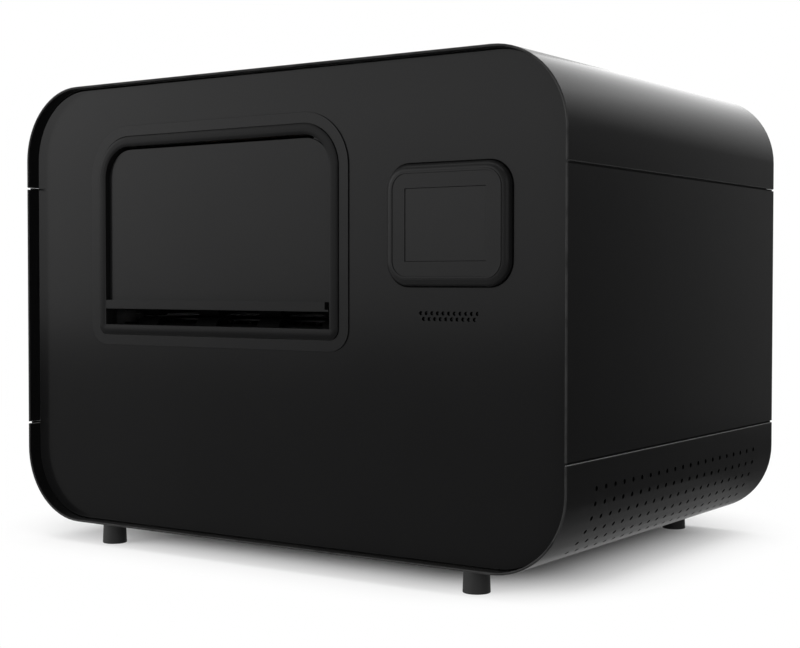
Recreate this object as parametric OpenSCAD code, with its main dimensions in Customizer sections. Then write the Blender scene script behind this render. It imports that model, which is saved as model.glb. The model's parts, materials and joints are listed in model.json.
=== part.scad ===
// Braille embosser: a sheet-metal desk machine that presses raised dots into fan-fold paper.
// Millimetres. X to the right, Y to the back, Z up. The front faces -Y and the feet stand on Z = 0.

/* [Casing] */
// Width over the side panels
case_w = 700; // [640:1:760]
// Depth from the front rim to the rear rim
case_d = 508; // [470:1:560]
// Height from the tray's underside to the top of the cover
case_h = 488; // [480:1:540]
// Radius of the four long bends
corner_r = 80; // [72:1:82]
// Thickness of the casing sheet
sheet_t = 2.5; // [1.5:0.1:3]
// Height of the bottom tray
tray_h = 107; // [105:1:120]
// Height of the hinged cover
cover_h = 110; // [108:1:120]
// Open seam between tray, side panels and cover
seam_gap = 2; // [1.6:0.1:4]
// How far the front and rear panels sit behind the rims
panel_set = 15; // [14:0.5:20]
// Thickness of the front and rear panels
panel_t = 3; // [2:0.1:4]
// Gap between a panel's edge and the casing around it
panel_clear = 0.8; // [0.5:0.1:0.9]

/* [Frame] */
// Leg of the angle bars that join the panels
angle_leg = 20; // [18:1:24]
// Thickness of the angle bars and seam rails
angle_t = 2.5; // [2:0.1:4]
// Height of the rails behind the seams
rail_h = 44; // [36:1:46]
// Width of the shelf that carries the cover's bumpers
shelf_w = 20; // [18:1:26]
// Thickness of the base plate
base_t = 4; // [3:0.5:6]
// Diameter of the cover's rubber bumpers
bumper_d = 12; // [8:0.5:14]
// Distance of the bumpers from the casing's middle
bumper_y = 150; // [100:1:170]

/* [Feet] */
// Height of the feet
foot_h = 24; // [18:1:30]
// Foot diameter at the table
foot_d = 27; // [26:0.5:32]
// Foot diameter under the tray
foot_top_d = 25; // [20:0.5:26]
// Distance of the feet from the casing's side
foot_side = 110.5; // [100:0.5:130]

/* [Cooling holes] */
// Rows of holes around each lower bend
vent_rows = 6; // [3:1:6]
// Holes in a row
vent_cols = 21; // [9:1:23]
// Hole diameter
vent_d = 4.8; // [3:0.1:6]
// Distance from hole to hole along a row
vent_pitch = 19.5; // [12:0.1:20]
// Angle from row to row
vent_step = 10.4; // [8:0.1:12]

/* [Window and flap] */
// Left edge of the window from the casing's left side
win_left = 114; // [110:1:118]
// Lower edge of the window above the tray's underside
win_sill = 223; // [215:1:235]
// Window width
win_w = 312; // [290:1:316]
// Window height
win_h = 196; // [180:1:200]
// Radius of the window's upper corners
win_r = 34; // [20:1:35]
// Width of the raised frame
frame_band = 10.5; // [9:0.5:14]
// How far the frame's crown stands out from the front panel
frame_proud = 3.3; // [3:0.1:4]
// How far the frame's edges stand out from the front panel
frame_edge = 2.6; // [2:0.1:2.8]
// Width of the groove round the frame
frame_groove = 0.8; // [0.5:0.1:1.2]
// Width of the flat flange around the frame
flange_band = 12; // [6:0.5:14]
// Thickness of the flange
flange_t = 1.5; // [1:0.1:1.8]
// Wall of the bezel behind the panel
tunnel_wall = 8; // [7.5:0.5:9]
// Depth of the bezel behind the panel's face
tunnel_d = 14; // [13.5:0.5:16]
// Height of the paper slot under the flap
slot_h = 17.5; // [12:0.5:22]
// How far the flap sits behind the frame's crown
flap_set = 5.8; // [5:0.1:7]
// Thickness of the flap
flap_t = 3; // [2.5:0.1:3.5]
// Gap beside the flap
flap_clear = 0.8; // [0.5:0.1:1]
// Gap above the flap
flap_top_gap = 3.4; // [1.5:0.1:4]
// Height of the lip along the flap's lower edge
lip_h = 9.5; // [6:0.5:14]
// Length by which the lip's front stops short at the right
lip_short = 4.5; // [3:0.5:8]
// Thickness of the lip's floor
lip_floor = 1.8; // [1:0.1:2.5]
// Pivot of the flap below the window's upper edge
pivot_drop = 37; // [36:0.5:50]
// Diameter of the flap's pivot pins
pivot_d = 5; // [4:0.5:6]
// Length of the flap's pivot barrels
pivot_barrel = 14; // [12:0.5:24]

/* [Display and speaker] */
// Display's middle to the right of the middle of the field beside the window
disp_off = 3; // [-8:0.5:12]
// Middle of the display above the tray's underside
disp_up = 324.7; // [310:0.5:335]
// Width of the display housing
disp_w = 139; // [130:1:146]
// Height of the display housing
disp_h = 117.6; // [110:0.5:126]
// How far the housing stands out
disp_proud = 8; // [6:0.5:10]
// Corner radius of the housing
disp_r = 25; // [15:1:30]
// Rounding of the housing's front edge
disp_round = 7.5; // [2:0.5:9.5]
// Width of the screen
screen_w = 91; // [80:1:98]
// Height of the screen
screen_h = 70; // [56:1:74]
// How far the screen sits behind the housing's face
screen_sink = 0.8; // [0.4:0.1:1.5]
// Thickness of the screen's glass
glass_t = 1.5; // [1:0.1:2.5]
// Depth of the display module
module_d = 14; // [10:1:20]
// Middle of the speaker holes above the tray's underside
speaker_up = 237.7; // [230:0.5:240]
// Holes in the upper speaker row
speaker_n = 11; // [5:1:13]
// Distance from speaker hole to speaker hole
speaker_pitch = 6.35; // [5:0.05:7]
// Diameter of the speaker holes
speaker_hole = 4; // [2:0.1:4.5]

/* [Cover hinge] */
// Distance of the hinges from the casing's middle
hinge_x = 180; // [120:1:200]
// Hinge axis in front of the rear rim
hinge_in = 8; // [7:0.5:8.5]
// Hinge axis below the inside of the cover
hinge_drop = 9.5; // [9:0.5:12]
// Radius of the hinge barrel
barrel_r = 4.5; // [4:0.1:5]
// Diameter of the hinge pin
hinge_pin_d = 5; // [4:0.1:5.5]
// Length of a hinge
hinge_len = 60; // [48:1:80]

/* [Embossing unit] */
// Clear width between the side plates
unit_w = 350; // [336:1:376]
// Thickness of the side plates
plate_t = 8; // [6:0.5:9]
// Middle of the drums behind the front panel
drum_in = 199; // [190:1:205]
// Radius of the drums
drum_r = 40; // [36:0.5:42]
// Gap between the drums
drum_gap = 2; // [1.5:0.1:3]
// Gap between a drum's end and the side plate
drum_side = 10; // [6:0.5:20]
// Number of dot rings on a drum
drum_rings = 26; // [8:1:30]
// Depth of the grooves between the rings
ring_depth = 2; // [1:0.1:4]
// Diameter of the drum shafts
shaft_d = 20; // [16:0.5:24]
// Outer diameter of the bearings
bearing_d = 42; // [36:0.5:48]
// Width of the bearings
bearing_w = 12; // [10:0.5:14]
// Teeth of each drum gear
gear_teeth = 41; // [31:2:45]
// Width of the drum gears
gear_w = 12; // [8:0.5:14]
// Diameter of the solenoids
solenoid_d = 22; // [16:0.5:24]
// Height of the solenoids
solenoid_h = 30; // [20:1:34]
// Solenoids along each selector bank
solenoid_n = 12; // [6:1:13]

/* [Drives] */
// Width of the main drive motor
motor_w = 86; // [80:1:92]
// Length of the main drive motor
motor_len = 80; // [60:1:100]
// Main motor behind the drums
motor_back = 120; // [115:1:130]
// Radius of the drum's belt pulley
pulley_r = 36; // [32:0.5:38]
// Radius of the motor's belt pulley
pinion_r = 12; // [10.5:0.5:16]
// Width of the main belt
belt_w = 14; // [10:0.5:15]
// Thickness of the belts
belt_t = 1.7; // [1:0.1:2.5]
// Width of the feed motor
feed_w = 57; // [50:0.5:60]
// Length of the feed motor
feed_len = 41; // [36:1:50]

/* [Paper feed] */
// Middle of each tractor from the side plate beside it
tractor_in = 35; // [34:0.5:60]
// Width of a tractor
tractor_w = 26; // [24:0.5:30]
// Tractor shaft behind the drums
tractor_back = 135; // [130:1:140]
// Distance from the tractor shaft to the guide rod
tractor_len = 50; // [44:1:54]
// Radius of the tractor sprockets
sprocket_r = 12; // [10:0.5:13]
// Width of the tractor belts
track_w = 10; // [8:0.5:11]
// Diameter of the tractor shaft and the guide rod
feed_shaft_d = 10; // [8:0.5:12]
// Thickness of the tractor doors
door_t = 3; // [2:0.1:3.5]
// Radius of the exit rollers
exit_r = 12; // [10:0.5:13]
// Radius of the pressure rollers
pinch_r = 9; // [8:0.5:11]
// Number of exit rollers
exit_n = 4; // [2:1:6]
// Length of an exit roller
exit_len = 30; // [20:1:40]
// Thickness of the paper guides
guide_t = 1.5; // [1:0.1:2]

/* [Electrics] */
// Width of the control board
board_w = 200; // [180:1:204]
// Height of the control board
board_h = 170; // [150:1:175]
// Board's distance from the rear panel
board_off = 20; // [16:0.5:24]
// Width of the fan
fan_w = 92; // [80:1:96]
// Depth of the fan
fan_d = 25; // [20:0.5:30]
// Number of fan blades
fan_blades = 7; // [5:2:9]
// Width of the mains inlet's flange
inlet_w = 48; // [46:0.5:54]
// Height of the mains inlet's flange
inlet_h = 60; // [58:0.5:66]
// Distance of the mains inlet from the fan
inlet_side = 21; // [14:0.5:24]
// Width of the power supply
psu_w = 96; // [80:1:98]
// Length of the power supply
psu_len = 140; // [110:1:150]
// Height of the power supply
psu_h = 55; // [40:1:70]

/* [Hidden] */
$fn = 48;

// Radial clearance of a running fit and of a fixed fit, slack in a belt's straight runs, free gap
run_fit = 0.05;
set_fit = 0.02;
belt_slim = 0.05;
free_gap = 0.3;
// Extra length of a cutting tool past the face it cuts, and least flat left beside a rounding
over = 1;
edge_land = 0.1;

// Levels of the casing
x_out = case_w / 2;
x_in = x_out - sheet_t;
x_flat = x_out - corner_r;
y_front = -case_d / 2;
y_rear = case_d / 2;
y_panel = y_front + panel_set;
y_panel_in = y_panel + panel_t;
y_back = y_rear - panel_set;
y_back_in = y_back - panel_t;
z_base = foot_h;
z_floor = z_base + sheet_t;
z_deck = z_floor + base_t;
z_top = z_base + case_h;
z_roof = z_top - sheet_t;
z_tray = z_base + tray_h;
z_cover = z_top - cover_h;
z_side0 = z_tray + seam_gap;
z_side1 = z_cover - seam_gap;
y_deck0 = y_panel_in + angle_leg + over;
y_deck1 = y_back_in - angle_leg - over;
foot_x = x_out - foot_side;
foot_y0 = y_panel_in + angle_leg / 2;
foot_y1 = y_back_in - angle_leg / 2;

// Cover rests and hinges
bumper_x = x_in - angle_t - (shelf_w - angle_t) / 2;
bumper_rise = 3.7;
bumper_h = seam_gap + bumper_rise;
tab_t = 3;
tab_w = 30;
tab_leg = 18;
z_tab = z_side1 + bumper_h + free_gap;
y_hinge = y_rear - hinge_in;
z_hinge = z_roof - hinge_drop;
leaf_t = 2;
leaf_len = 34;
leaf_heel = 4;
bracket_h = 38;
knuckle = hinge_len / 3;
knuckle_gap = 0.5;
hinge_notch = 5;
rib_y = 110;
rib_w = 20;
rib_h = 12;
rib_t = 1.5;
rib_flange = 10;

// Fasteners
screw_d = 4;
screw_head_d = 9;
screw_head_h = 3;
screw_slot = 1.2;
foot_screw_d = 5;
foot_bore_d = 12;
foot_bore_h = 10;
nut_d = 9.2;
nut_h = 4;
screw_rows = [0.12, 0.5, 0.88];
floor_screw_x = 150;
screw_x = x_in - angle_leg / 2 - over;

// Window, flap and paper plane
win_x = -x_out + win_left + win_w / 2;
z_sill = z_base + win_sill;
z_lintel = z_sill + win_h;
y_frame = y_panel - frame_proud;
y_flap = y_frame + flap_set;
z_lip = z_sill + slot_h;
barrel_wall = 2;
barrel_out = pivot_d / 2 + barrel_wall;
pivot_sink = 0.5;
y_pivot = y_flap + flap_t + pivot_d / 2 - pivot_sink;
z_pivot = z_lintel - pivot_drop;
groove_floor = 0.3;
flap_half = win_w / 2 - flap_clear;
pin_x0 = flap_half - pivot_barrel + barrel_wall;
pin_floor = 1.5;
pin_seat = tunnel_wall - pin_floor;
stop_w = 5;
stop_h = 15;
stop_up = 20;
z_paper = z_sill + slot_h / 2;

// Display and speaker
disp_x = (win_x + win_w / 2 + x_out) / 2 + disp_off;
disp_z = z_base + disp_up;
glass_fit = 0.2;
glass_ledge = 3;
module_side = 6.5;
module_end = 7;
module_w = screen_w + 2 * module_side;
module_h = screen_h + 2 * module_end;
module_fit = 0.5;
speaker_z = z_base + speaker_up;
speaker_w = 78;
speaker_h = 34;
speaker_plate = 3;
speaker_r = 3;
basket_w = 67;
basket_h = 31;
basket_r = 11;
basket_d = 9;
magnet_d = 28;
magnet_h = 11;

// Embossing unit
xl = win_x - unit_w / 2;
xr = win_x + unit_w / 2;
xl_out = xl - plate_t;
xr_out = xr + plate_t;
y_drum = y_panel + drum_in;
drum_len = unit_w - 2 * drum_side;
z_upper = z_paper + drum_r + drum_gap / 2;
z_lower = z_paper - drum_r - drum_gap / 2;
gear_m = (z_upper - z_lower) / gear_teeth;
pressure_angle = 20;
tooth_out = 0.9;
tooth_in = 1.2;
tooth_slack = 0.12;
side_gap = 4;
gear_x0 = xr_out + side_gap;
gear_x1 = gear_x0 + gear_w;
pulley_x0 = gear_x1 + side_gap;
flange_w = 2;
pulley_rim = 2;
belt_side = 0.5;
pulley_x1 = pulley_x0 + belt_w + 2 * flange_w + 2 * belt_side;
shaft_end = 2;
bank_gap = 8;
bank_h = 20;
bank_w = 52;
plunger_d = 6;
plunger_gap = 1;
z_bank_hi = z_upper + drum_r + bank_gap;
z_bank_lo = z_lower - drum_r - bank_gap;
plate_over = 16;
plate_in = 12;
plate_neck = 80;
plate_top = z_bank_hi + bank_h + plate_over;
plate_front = y_panel_in + plate_in;
plate_step = y_drum - plate_neck;
arm_h = 46;
foot_rail = 12;
foot_rail_h = 6;
tie_d = 16;
tie_lift = 36;
hole_r = 26;
plate_holes = [[52, 78], [117, 104], [-26, 65]];

// Paper feed
y_tractor = y_drum + tractor_back;
y_rod = y_tractor + tractor_len;
z_feed = z_paper - sprocket_r - free_gap - belt_t;
feed_r = feed_shaft_d / 2;
plate_tail = 20;
plate_rear = y_rod + plate_tail;
tractor_end = 18;
cheek_drop = 1;
channel_room = 2;
channel_w = track_w + channel_room;
channel_floor = sprocket_r + belt_t + channel_room;
tractor_floor = 6;
peg_d = 3.6;
peg_tip = 2;
peg_h = 3;
peg_pitch = 12.5;
door_r = 3.5;
door_pin_d = 3;
door_knuckle = 20;
door_slot = 8;
door_hang = tractor_w / 2 + door_r + free_gap;
door_rest = 1.6;
z_door = z_paper + door_rest;
track_x = [xl + tractor_in, xr - tractor_in];
feed_pulley_r = 14;
feed_belt_w = 8;
feed_gap = 3;
feed_x1 = xl_out - feed_gap;
feed_x0 = feed_x1 - feed_belt_w - 2 * flange_w - 2 * belt_side;
standoff_d = 8;
standoff_at = 0.41;
face_gap = 6;
feed_face = feed_x0 - face_gap;
exit_set = 46;
y_exit = y_panel_in + exit_set;
nip = 0.5;
z_exit = z_paper - exit_r - nip;
z_pinch = z_paper + pinch_r + nip;
exit_shaft_d = 10;
pinch_shaft_d = 8;
exit_step = unit_w / exit_n;
guide_gap = 2.5;
guide_nip = 22;
guide_exit = 3;
chute_drop = 0.6;
z_chute = z_sill - chute_drop;

// Drives
motor_gap = 10;
motor_x0 = pulley_x1 + motor_gap;
bracket_t = 6;
y_motor = y_drum + motor_back;
motor_lift = 14;
z_motor = z_deck + motor_w / 2 + motor_lift;
motor_shaft_d = 14;
motor_boss_d = 60;
bell_len = 16;
bell_step = 2;
motor_r = 8.6;
feed_motor_r = 5.7;

// Electrics
board_right = 135;
board_up = 268;
board_x = x_out - board_right;
board_z = z_base + board_up;
board_t = 1.6;
y_board = y_back_in - board_off;
board_post_d = 8;
board_inset = 10;
chips = [[10, 20, 40, 40, 4], [-55, -45, 50, 30, 10], [70, 0, 40, 100, 10]];
cans = [-70, -50, -30, -10];
can_d = 14;
can_h = 20;
can_z = 60;
port_up = 14;
port_z = board_z - board_h / 2 + port_up;
port_fit = 0.5;
port_proud = 1;
port_wall = 1;
ports = [[-52, 17, 13], [-24, 14, 12], [2, 16, 14]];
port_rows = [for (p = ports) p[2]];
port_x0 = min([for (p = ports) p[0] - p[1] / 2]);
port_x1 = max([for (p = ports) p[0] + p[1] / 2]);
port_x = board_x + (port_x0 + port_x1) / 2;
port_mouth = 8;
port_lap = 10;
port_open_w = port_x1 - port_x0 + port_mouth;
port_open_h = max(port_rows) + 2 * port_mouth;
port_plate_t = 1.5;
port_corner = 3;
y_ports = y_back + port_plate_t;
fan_right = 120;
fan_up = 101;
fan_wall = 3;
fan_corner = 6;
fan_x = x_out - fan_right;
fan_z = z_base + fan_up;
fan_bore = fan_w / 2 - fan_wall;
hub_r = 15.3;
tip_gap = 1.5;
blade_t = 2;
blade_tilt = 35;
axle_d = 5;
strut_w = 5;
strut_t = 3;
grille_hole = 6;
grille_pitch = 9;
grille_rings = 4;
inlet_up = 92;
inlet_x = fan_x - fan_w / 2 - inlet_side - inlet_w / 2;
inlet_z = z_base + inlet_up;
inlet_flange = 3;
inlet_deep = 30;
inlet_rim = 6;
socket_w = 26;
socket_h = 19;
socket_deep = 16;
socket_drop = 14;
blade_w = 4;
blade_h = 2;
blade_len = 12;
blade_gap = 7;
rocker_w = 20;
rocker_h = 14;
rocker_up = 14;
rocker_deep = 10;
rocker_tilt = 9;
rocker_rise = 2;
rocker_fit = 0.6;
rocker_pin_d = 3;
rocker_pin_in = 2;
entry_h = 22;
entry_band = 9;
entry_proud = 3;
entry_round = 2.5;
entry_deep = 12;
entry_wall = 4;
entry_fit = 0.4;
psu_cols = 4;
psu_rows = 7;
psu_hole = 6;
psu_hole_deep = 2;

// Shared drawing helpers

// The pair of limits of width w about a middle c
function span(c, w) = [c - w / 2, c + w / 2];

// A 2D outline in (Y, Z) drawn out along X
module along_x(x0, x1) {
    translate([x0, 0, 0]) rotate([90, 0, 90]) linear_extrude(x1 - x0) children();
}

// A 2D outline in (X, Z) drawn out along Y
module along_y(y0, y1) {
    translate([0, y1, 0]) rotate([90, 0, 0]) linear_extrude(y1 - y0) children();
}

// A block between three pairs of limits
module block(x, y, z) {
    translate([x[0], y[0], z[0]]) cube([x[1] - x[0], y[1] - y[0], z[1] - z[0]]);
}

// A round bar along X, along Y or along Z
module bar_x(x, y, z, r) {
    translate([x[0], y, z]) rotate([0, 90, 0]) cylinder(h = x[1] - x[0], r = r);
}
module bar_y(x, y, z, r) {
    translate([x, y[1], z]) rotate([90, 0, 0]) cylinder(h = y[1] - y[0], r = r);
}
module bar_z(x, y, z, r) {
    translate([x, y, z[0]]) cylinder(h = z[1] - z[0], r = r);
}

// A frame on the front panel: x to the right, y up, z towards the viewer
module on_front(x, z) {
    translate([x, y_panel, z]) rotate([90, 0, 0]) children();
}

// A frame on the rear panel, seen from behind: y up, z away from the machine
module on_rear(x, z) {
    translate([x, y_back, z]) rotate([90, 0, 180]) children();
}

// The same piece on the left and on the right
module both_sides() {
    children();
    mirror([1, 0, 0]) children();
}

// A centred rectangle, and one with round corners
module rect(w, h) {
    square([w, h], center = true);
}
module round_rect(w, h, r) {
    rect(w - 2 * r, h);
    rect(w, h - 2 * r);
    for (sx = [-1, 1], sy = [-1, 1]) {
        translate([sx * (w / 2 - r), sy * (h / 2 - r)]) circle(r);
    }
}

// A strip of width w standing up by d, with its two upper edges rounded by r as far as d allows
module soft_section(w, d, r) {
    e = min(r, d - edge_land);
    intersection() {
        union() {
            translate([-w / 2, 0]) square([w, d - e]);
            translate([e - w / 2, 0]) square([w - 2 * e, d]);
            for (s = [-1, 1]) {
                translate([s * (w / 2 - e), d - e]) circle(e);
            }
        }
        translate([-w / 2, 0]) square([w, d]);
    }
}

// A strip of width w whose face is one arc, from the height edge on both sides up to crown
module crowned_section(w, crown, edge) {
    rise = crown - edge;
    r = (w * w / 4 + rise * rise) / (2 * rise);
    intersection() {
        translate([0, crown - r]) circle(r);
        translate([-w / 2, 0]) square([w, crown]);
    }
}

// A pad with corner radius r whose front edge is rounded by e all the way round
module soft_pad(w, h, r, d, e) {
    rotate([90, 0, 0]) linear_extrude(h - 2 * r, center = true) soft_section(w, d, e);
    rotate([90, 0, 90]) linear_extrude(w - 2 * r, center = true) soft_section(h, d, e);
    for (sx = [-1, 1], sy = [-1, 1]) {
        translate([sx * (w / 2 - r), sy * (h / 2 - r), 0]) rotate_extrude() intersection() {
            soft_section(2 * r, d, e);
            square([r, d]);
        }
    }
}

// The solid inside a belt's outline: two discs joined by a block between their outer tangents
module belt_core(x0, x1, p, rp, q, rq) {
    a = atan2(q[1] - p[1], q[0] - p[0]);
    b = acos((rp - rq) / norm(q - p));
    hi = [cos(a + b), sin(a + b)];
    lo = [cos(a - b), sin(a - b)];
    rps = rp - belt_slim;
    rqs = rq - belt_slim;
    bar_x([x0, x1], p[0], p[1], rp);
    bar_x([x0, x1], q[0], q[1], rq);
    along_x(x0, x1) polygon([p + rps * hi, q + rqs * hi, q + rqs * lo, p + rps * lo]);
}

// A belt from x0 to x1 that lies free_gap outside its two pulleys
module belt(x0, x1, p, rp, q, rq) {
    in = free_gap;
    out = free_gap + belt_t;
    difference() {
        belt_core(x0, x1, p, rp + out, q, rq + out);
        belt_core(x0 - over, x1 + over, p, rp + in, q, rq + in);
    }
}

// A pulley with two rims, drawn round the X axis from x0 on
module rimmed_pulley(x0, y, z, r, w, bore) {
    x1 = x0 + w + 2 * flange_w + 2 * belt_side;
    difference() {
        union() {
            bar_x([x0, x1], y, z, r);
            bar_x([x0, x0 + flange_w], y, z, r + belt_t + pulley_rim);
            bar_x([x1 - flange_w, x1], y, z, r + belt_t + pulley_rim);
        }
        bar_x([x0 - over, x1 + over], y, z, bore);
    }
}

// Casing

// The casing's closed outline, moved inwards by an inset
module wrap_outline(inset) {
    translate([0, z_base + case_h / 2])
        round_rect(case_w - 2 * inset, case_h - 2 * inset, corner_r - inset);
}

// The sheet's section between two heights
module wrap_sheet(z0, z1) {
    intersection() {
        difference() {
            wrap_outline(0);
            wrap_outline(sheet_t);
        }
        translate([-case_w, z0]) square([2 * case_w, z1 - z0]);
    }
}

// The rows of cooling holes round one lower bend
module vent_holes() {
    for (i = [0 : vent_rows - 1], j = [0 : vent_cols - 1]) {
        translate([x_flat, (j - (vent_cols - 1) / 2) * vent_pitch, z_base + corner_r])
            rotate([0, 90 + i * vent_step, 0])
            translate([0, 0, corner_r - sheet_t - over])
            cylinder(h = sheet_t + 2 * over, d = vent_d);
    }
}

// The places of the four feet
module at_feet() {
    for (x = [-foot_x, foot_x], y = [foot_y0, foot_y1]) {
        translate([x, y, 0]) children();
    }
}

// The hole for a foot's screw through a sheet that lies at height z
module foot_screw_hole(z, t) {
    translate([0, 0, z - over]) cylinder(h = t + 2 * over, d = foot_screw_d + 2 * free_gap);
}

// The places of the screws in the rear panel
module at_rear_screws() {
    for (s = [-1, 1], k = screw_rows) {
        translate([s * screw_x, y_back, z_side0 + k * (z_side1 - z_side0)]) rotate([-90, 0, 0]) children();
    }
    for (s = [-1, 1]) {
        translate([s * floor_screw_x, y_back, z_floor + angle_leg / 2 + over])
            rotate([-90, 0, 0]) children();
    }
}

// The places of the two screws in the port plate
module at_port_screws() {
    for (s = [-1, 1]) {
        translate([port_x + s * (port_open_w / 2 + port_lap), y_back, port_z]) rotate([-90, 0, 0]) children();
    }
}

// A screw hole that runs back from the rear panel's face
module rear_screw_hole() {
    translate([0, 0, -panel_t - angle_t - over])
        cylinder(h = panel_t + angle_t + 2 * over, d = screw_d + 2 * free_gap);
}

module bottom_tray() {
    color("#2b2b2c") difference() {
        along_y(y_front, y_rear) wrap_sheet(z_base - over, z_tray);
        both_sides() vent_holes();
        at_feet() foot_screw_hole(z_base, sheet_t);
    }
}

module right_side_panel() {
    color("#2b2b2c") block([x_in, x_out], [y_front, y_rear], [z_side0, z_side1]);
}

module left_side_panel() {
    mirror([1, 0, 0]) right_side_panel();
}

module top_cover() {
    color("#2b2b2c") along_y(y_front, y_rear) wrap_sheet(z_cover, z_top + over);
}

// Hat-section stiffeners under the cover
module cover_ribs() {
    hat = [
        [-rib_w / 2 - rib_flange, 0], [-rib_w / 2 - rib_flange, -rib_t], [-rib_w / 2, -rib_t],
        [-rib_w / 2, -rib_h], [rib_w / 2, -rib_h], [rib_w / 2, -rib_t],
        [rib_w / 2 + rib_flange, -rib_t], [rib_w / 2 + rib_flange, 0],
        [rib_w / 2 - rib_t, 0], [rib_w / 2 - rib_t, rib_t - rib_h],
        [rib_t - rib_w / 2, rib_t - rib_h], [rib_t - rib_w / 2, 0]
    ];
    color("#333435") for (s = [-1, 1]) {
        along_x(-x_flat, x_flat) translate([s * rib_y, z_roof]) polygon(hat);
    }
}

// Angles inside the cover's skirts that come down on the bumpers
module cover_rest_tabs() {
    color("#333435") both_sides() for (s = [-1, 1]) {
        block([x_in - shelf_w, x_in], span(s * bumper_y, tab_w), [z_tab, z_tab + tab_t]);
        block([x_in - tab_t, x_in], span(s * bumper_y, tab_w), [z_tab, z_tab + tab_leg]);
    }
}

// The hinges' leaves on the cover, each with the two outer knuckles
module cover_hinge_leaves() {
    color("#8d8f92") both_sides() translate([hinge_x, 0, 0]) difference() {
        union() {
            block(span(0, hinge_len), [y_hinge - leaf_len, y_hinge + leaf_heel], [z_roof - leaf_t, z_roof]);
            both_sides() {
                bar_x([knuckle / 2 + knuckle_gap, hinge_len / 2], y_hinge, z_hinge, barrel_r);
                block([knuckle / 2 + knuckle_gap, hinge_len / 2], span(y_hinge, leaf_heel),
                    [z_hinge, z_roof - leaf_t / 2]);
            }
        }
        bar_x([-hinge_len, hinge_len], y_hinge, z_hinge, hinge_pin_d / 2 + run_fit);
    }
}

// The hinges' brackets on the rear panel, each with the middle knuckle
module cover_hinge_brackets() {
    z0 = z_hinge - barrel_r - leaf_t - bracket_h;
    z1 = z_hinge - barrel_r - leaf_t;
    color("#8d8f92") both_sides() translate([hinge_x, 0, 0]) difference() {
        union() {
            block([-hinge_len, hinge_len] / 2, [y_back, y_back + leaf_t], [z0, z1]);
            block([-knuckle, knuckle] / 2, [y_back, y_hinge], [z1 - leaf_t, z_hinge - leaf_t / 2]);
            bar_x([-knuckle, knuckle] / 2, y_hinge, z_hinge, barrel_r);
        }
        bar_x([-hinge_len, hinge_len], y_hinge, z_hinge, hinge_pin_d / 2 + set_fit);
    }
}

module cover_hinge_pins() {
    color("#c9cbce") both_sides() translate([hinge_x, 0, 0]) {
        bar_x([-hinge_len / 2 - leaf_t, hinge_len / 2 + leaf_t], y_hinge, z_hinge, hinge_pin_d / 2);
        bar_x([hinge_len / 2 + free_gap, hinge_len / 2 + leaf_t], y_hinge, z_hinge, barrel_r);
    }
}

module cover_bumpers() {
    color("#1c1c1c") both_sides() for (s = [-1, 1]) {
        bar_z(bumper_x, s * bumper_y, [z_side1, z_side1 + bumper_h], bumper_d / 2);
    }
}

// The flat sheet that closes the front, with its cut-outs
module front_panel() {
    color("#2b2b2c") along_y(y_panel, y_panel_in) difference() {
        wrap_outline(sheet_t + panel_clear);
        translate([win_x, z_sill]) window_outline(tunnel_wall + free_gap);
        translate([disp_x, disp_z]) rect(module_w + 2 * module_fit, module_h + 2 * module_fit);
        for (row = [0, 1], i = [0 : speaker_n - 1 - row]) {
            translate([
                disp_x + (i - (speaker_n - 1 - row) / 2) * speaker_pitch,
                speaker_z + (0.5 - row) * speaker_pitch * sin(60)
            ]) circle(d = speaker_hole);
        }
    }
}

// The rings of holes in front of the fan
module grille_holes() {
    circle(d = grille_hole);
    for (ring = [1 : grille_rings], i = [0 : 6 * ring - 1]) {
        rotate(i * 60 / ring) translate([ring * grille_pitch, 0]) circle(d = grille_hole);
    }
}

module rear_panel() {
    color("#2b2b2c") difference() {
        along_y(y_back_in, y_back) difference() {
            wrap_outline(sheet_t + panel_clear);
            translate([win_x, z_paper])
                rect(win_w + 2 * (entry_wall + entry_fit), entry_h + 2 * (entry_wall + entry_fit));
            translate([fan_x, fan_z]) grille_holes();
            translate([inlet_x, inlet_z]) rect(inlet_w - inlet_rim + over, inlet_h - inlet_rim + over);
            translate([port_x, port_z]) rect(port_open_w, port_open_h);
            for (s = [-1, 1]) {
                translate([s * hinge_x, z_roof])
                    rect(hinge_len + 2 * hinge_notch, 2 * hinge_notch);
            }
        }
        at_rear_screws() rear_screw_hole();
        at_port_screws() rear_screw_hole();
    }
}

// The plate over the rear panel's cut-out, with a hole for each socket
module port_plate() {
    color("#a9abad") difference() {
        along_y(y_back, y_ports) difference() {
            translate([port_x, port_z])
                round_rect(port_open_w + 4 * port_lap, port_open_h + port_lap, port_corner);
            for (p = ports) {
                translate([board_x + p[0], port_z]) rect(p[1] + 2 * port_fit, p[2] + 2 * port_fit);
            }
        }
        at_port_screws() translate([0, 0, -over]) cylinder(h = screw_head_h, d = screw_d + 2 * set_fit);
    }
}

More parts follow.
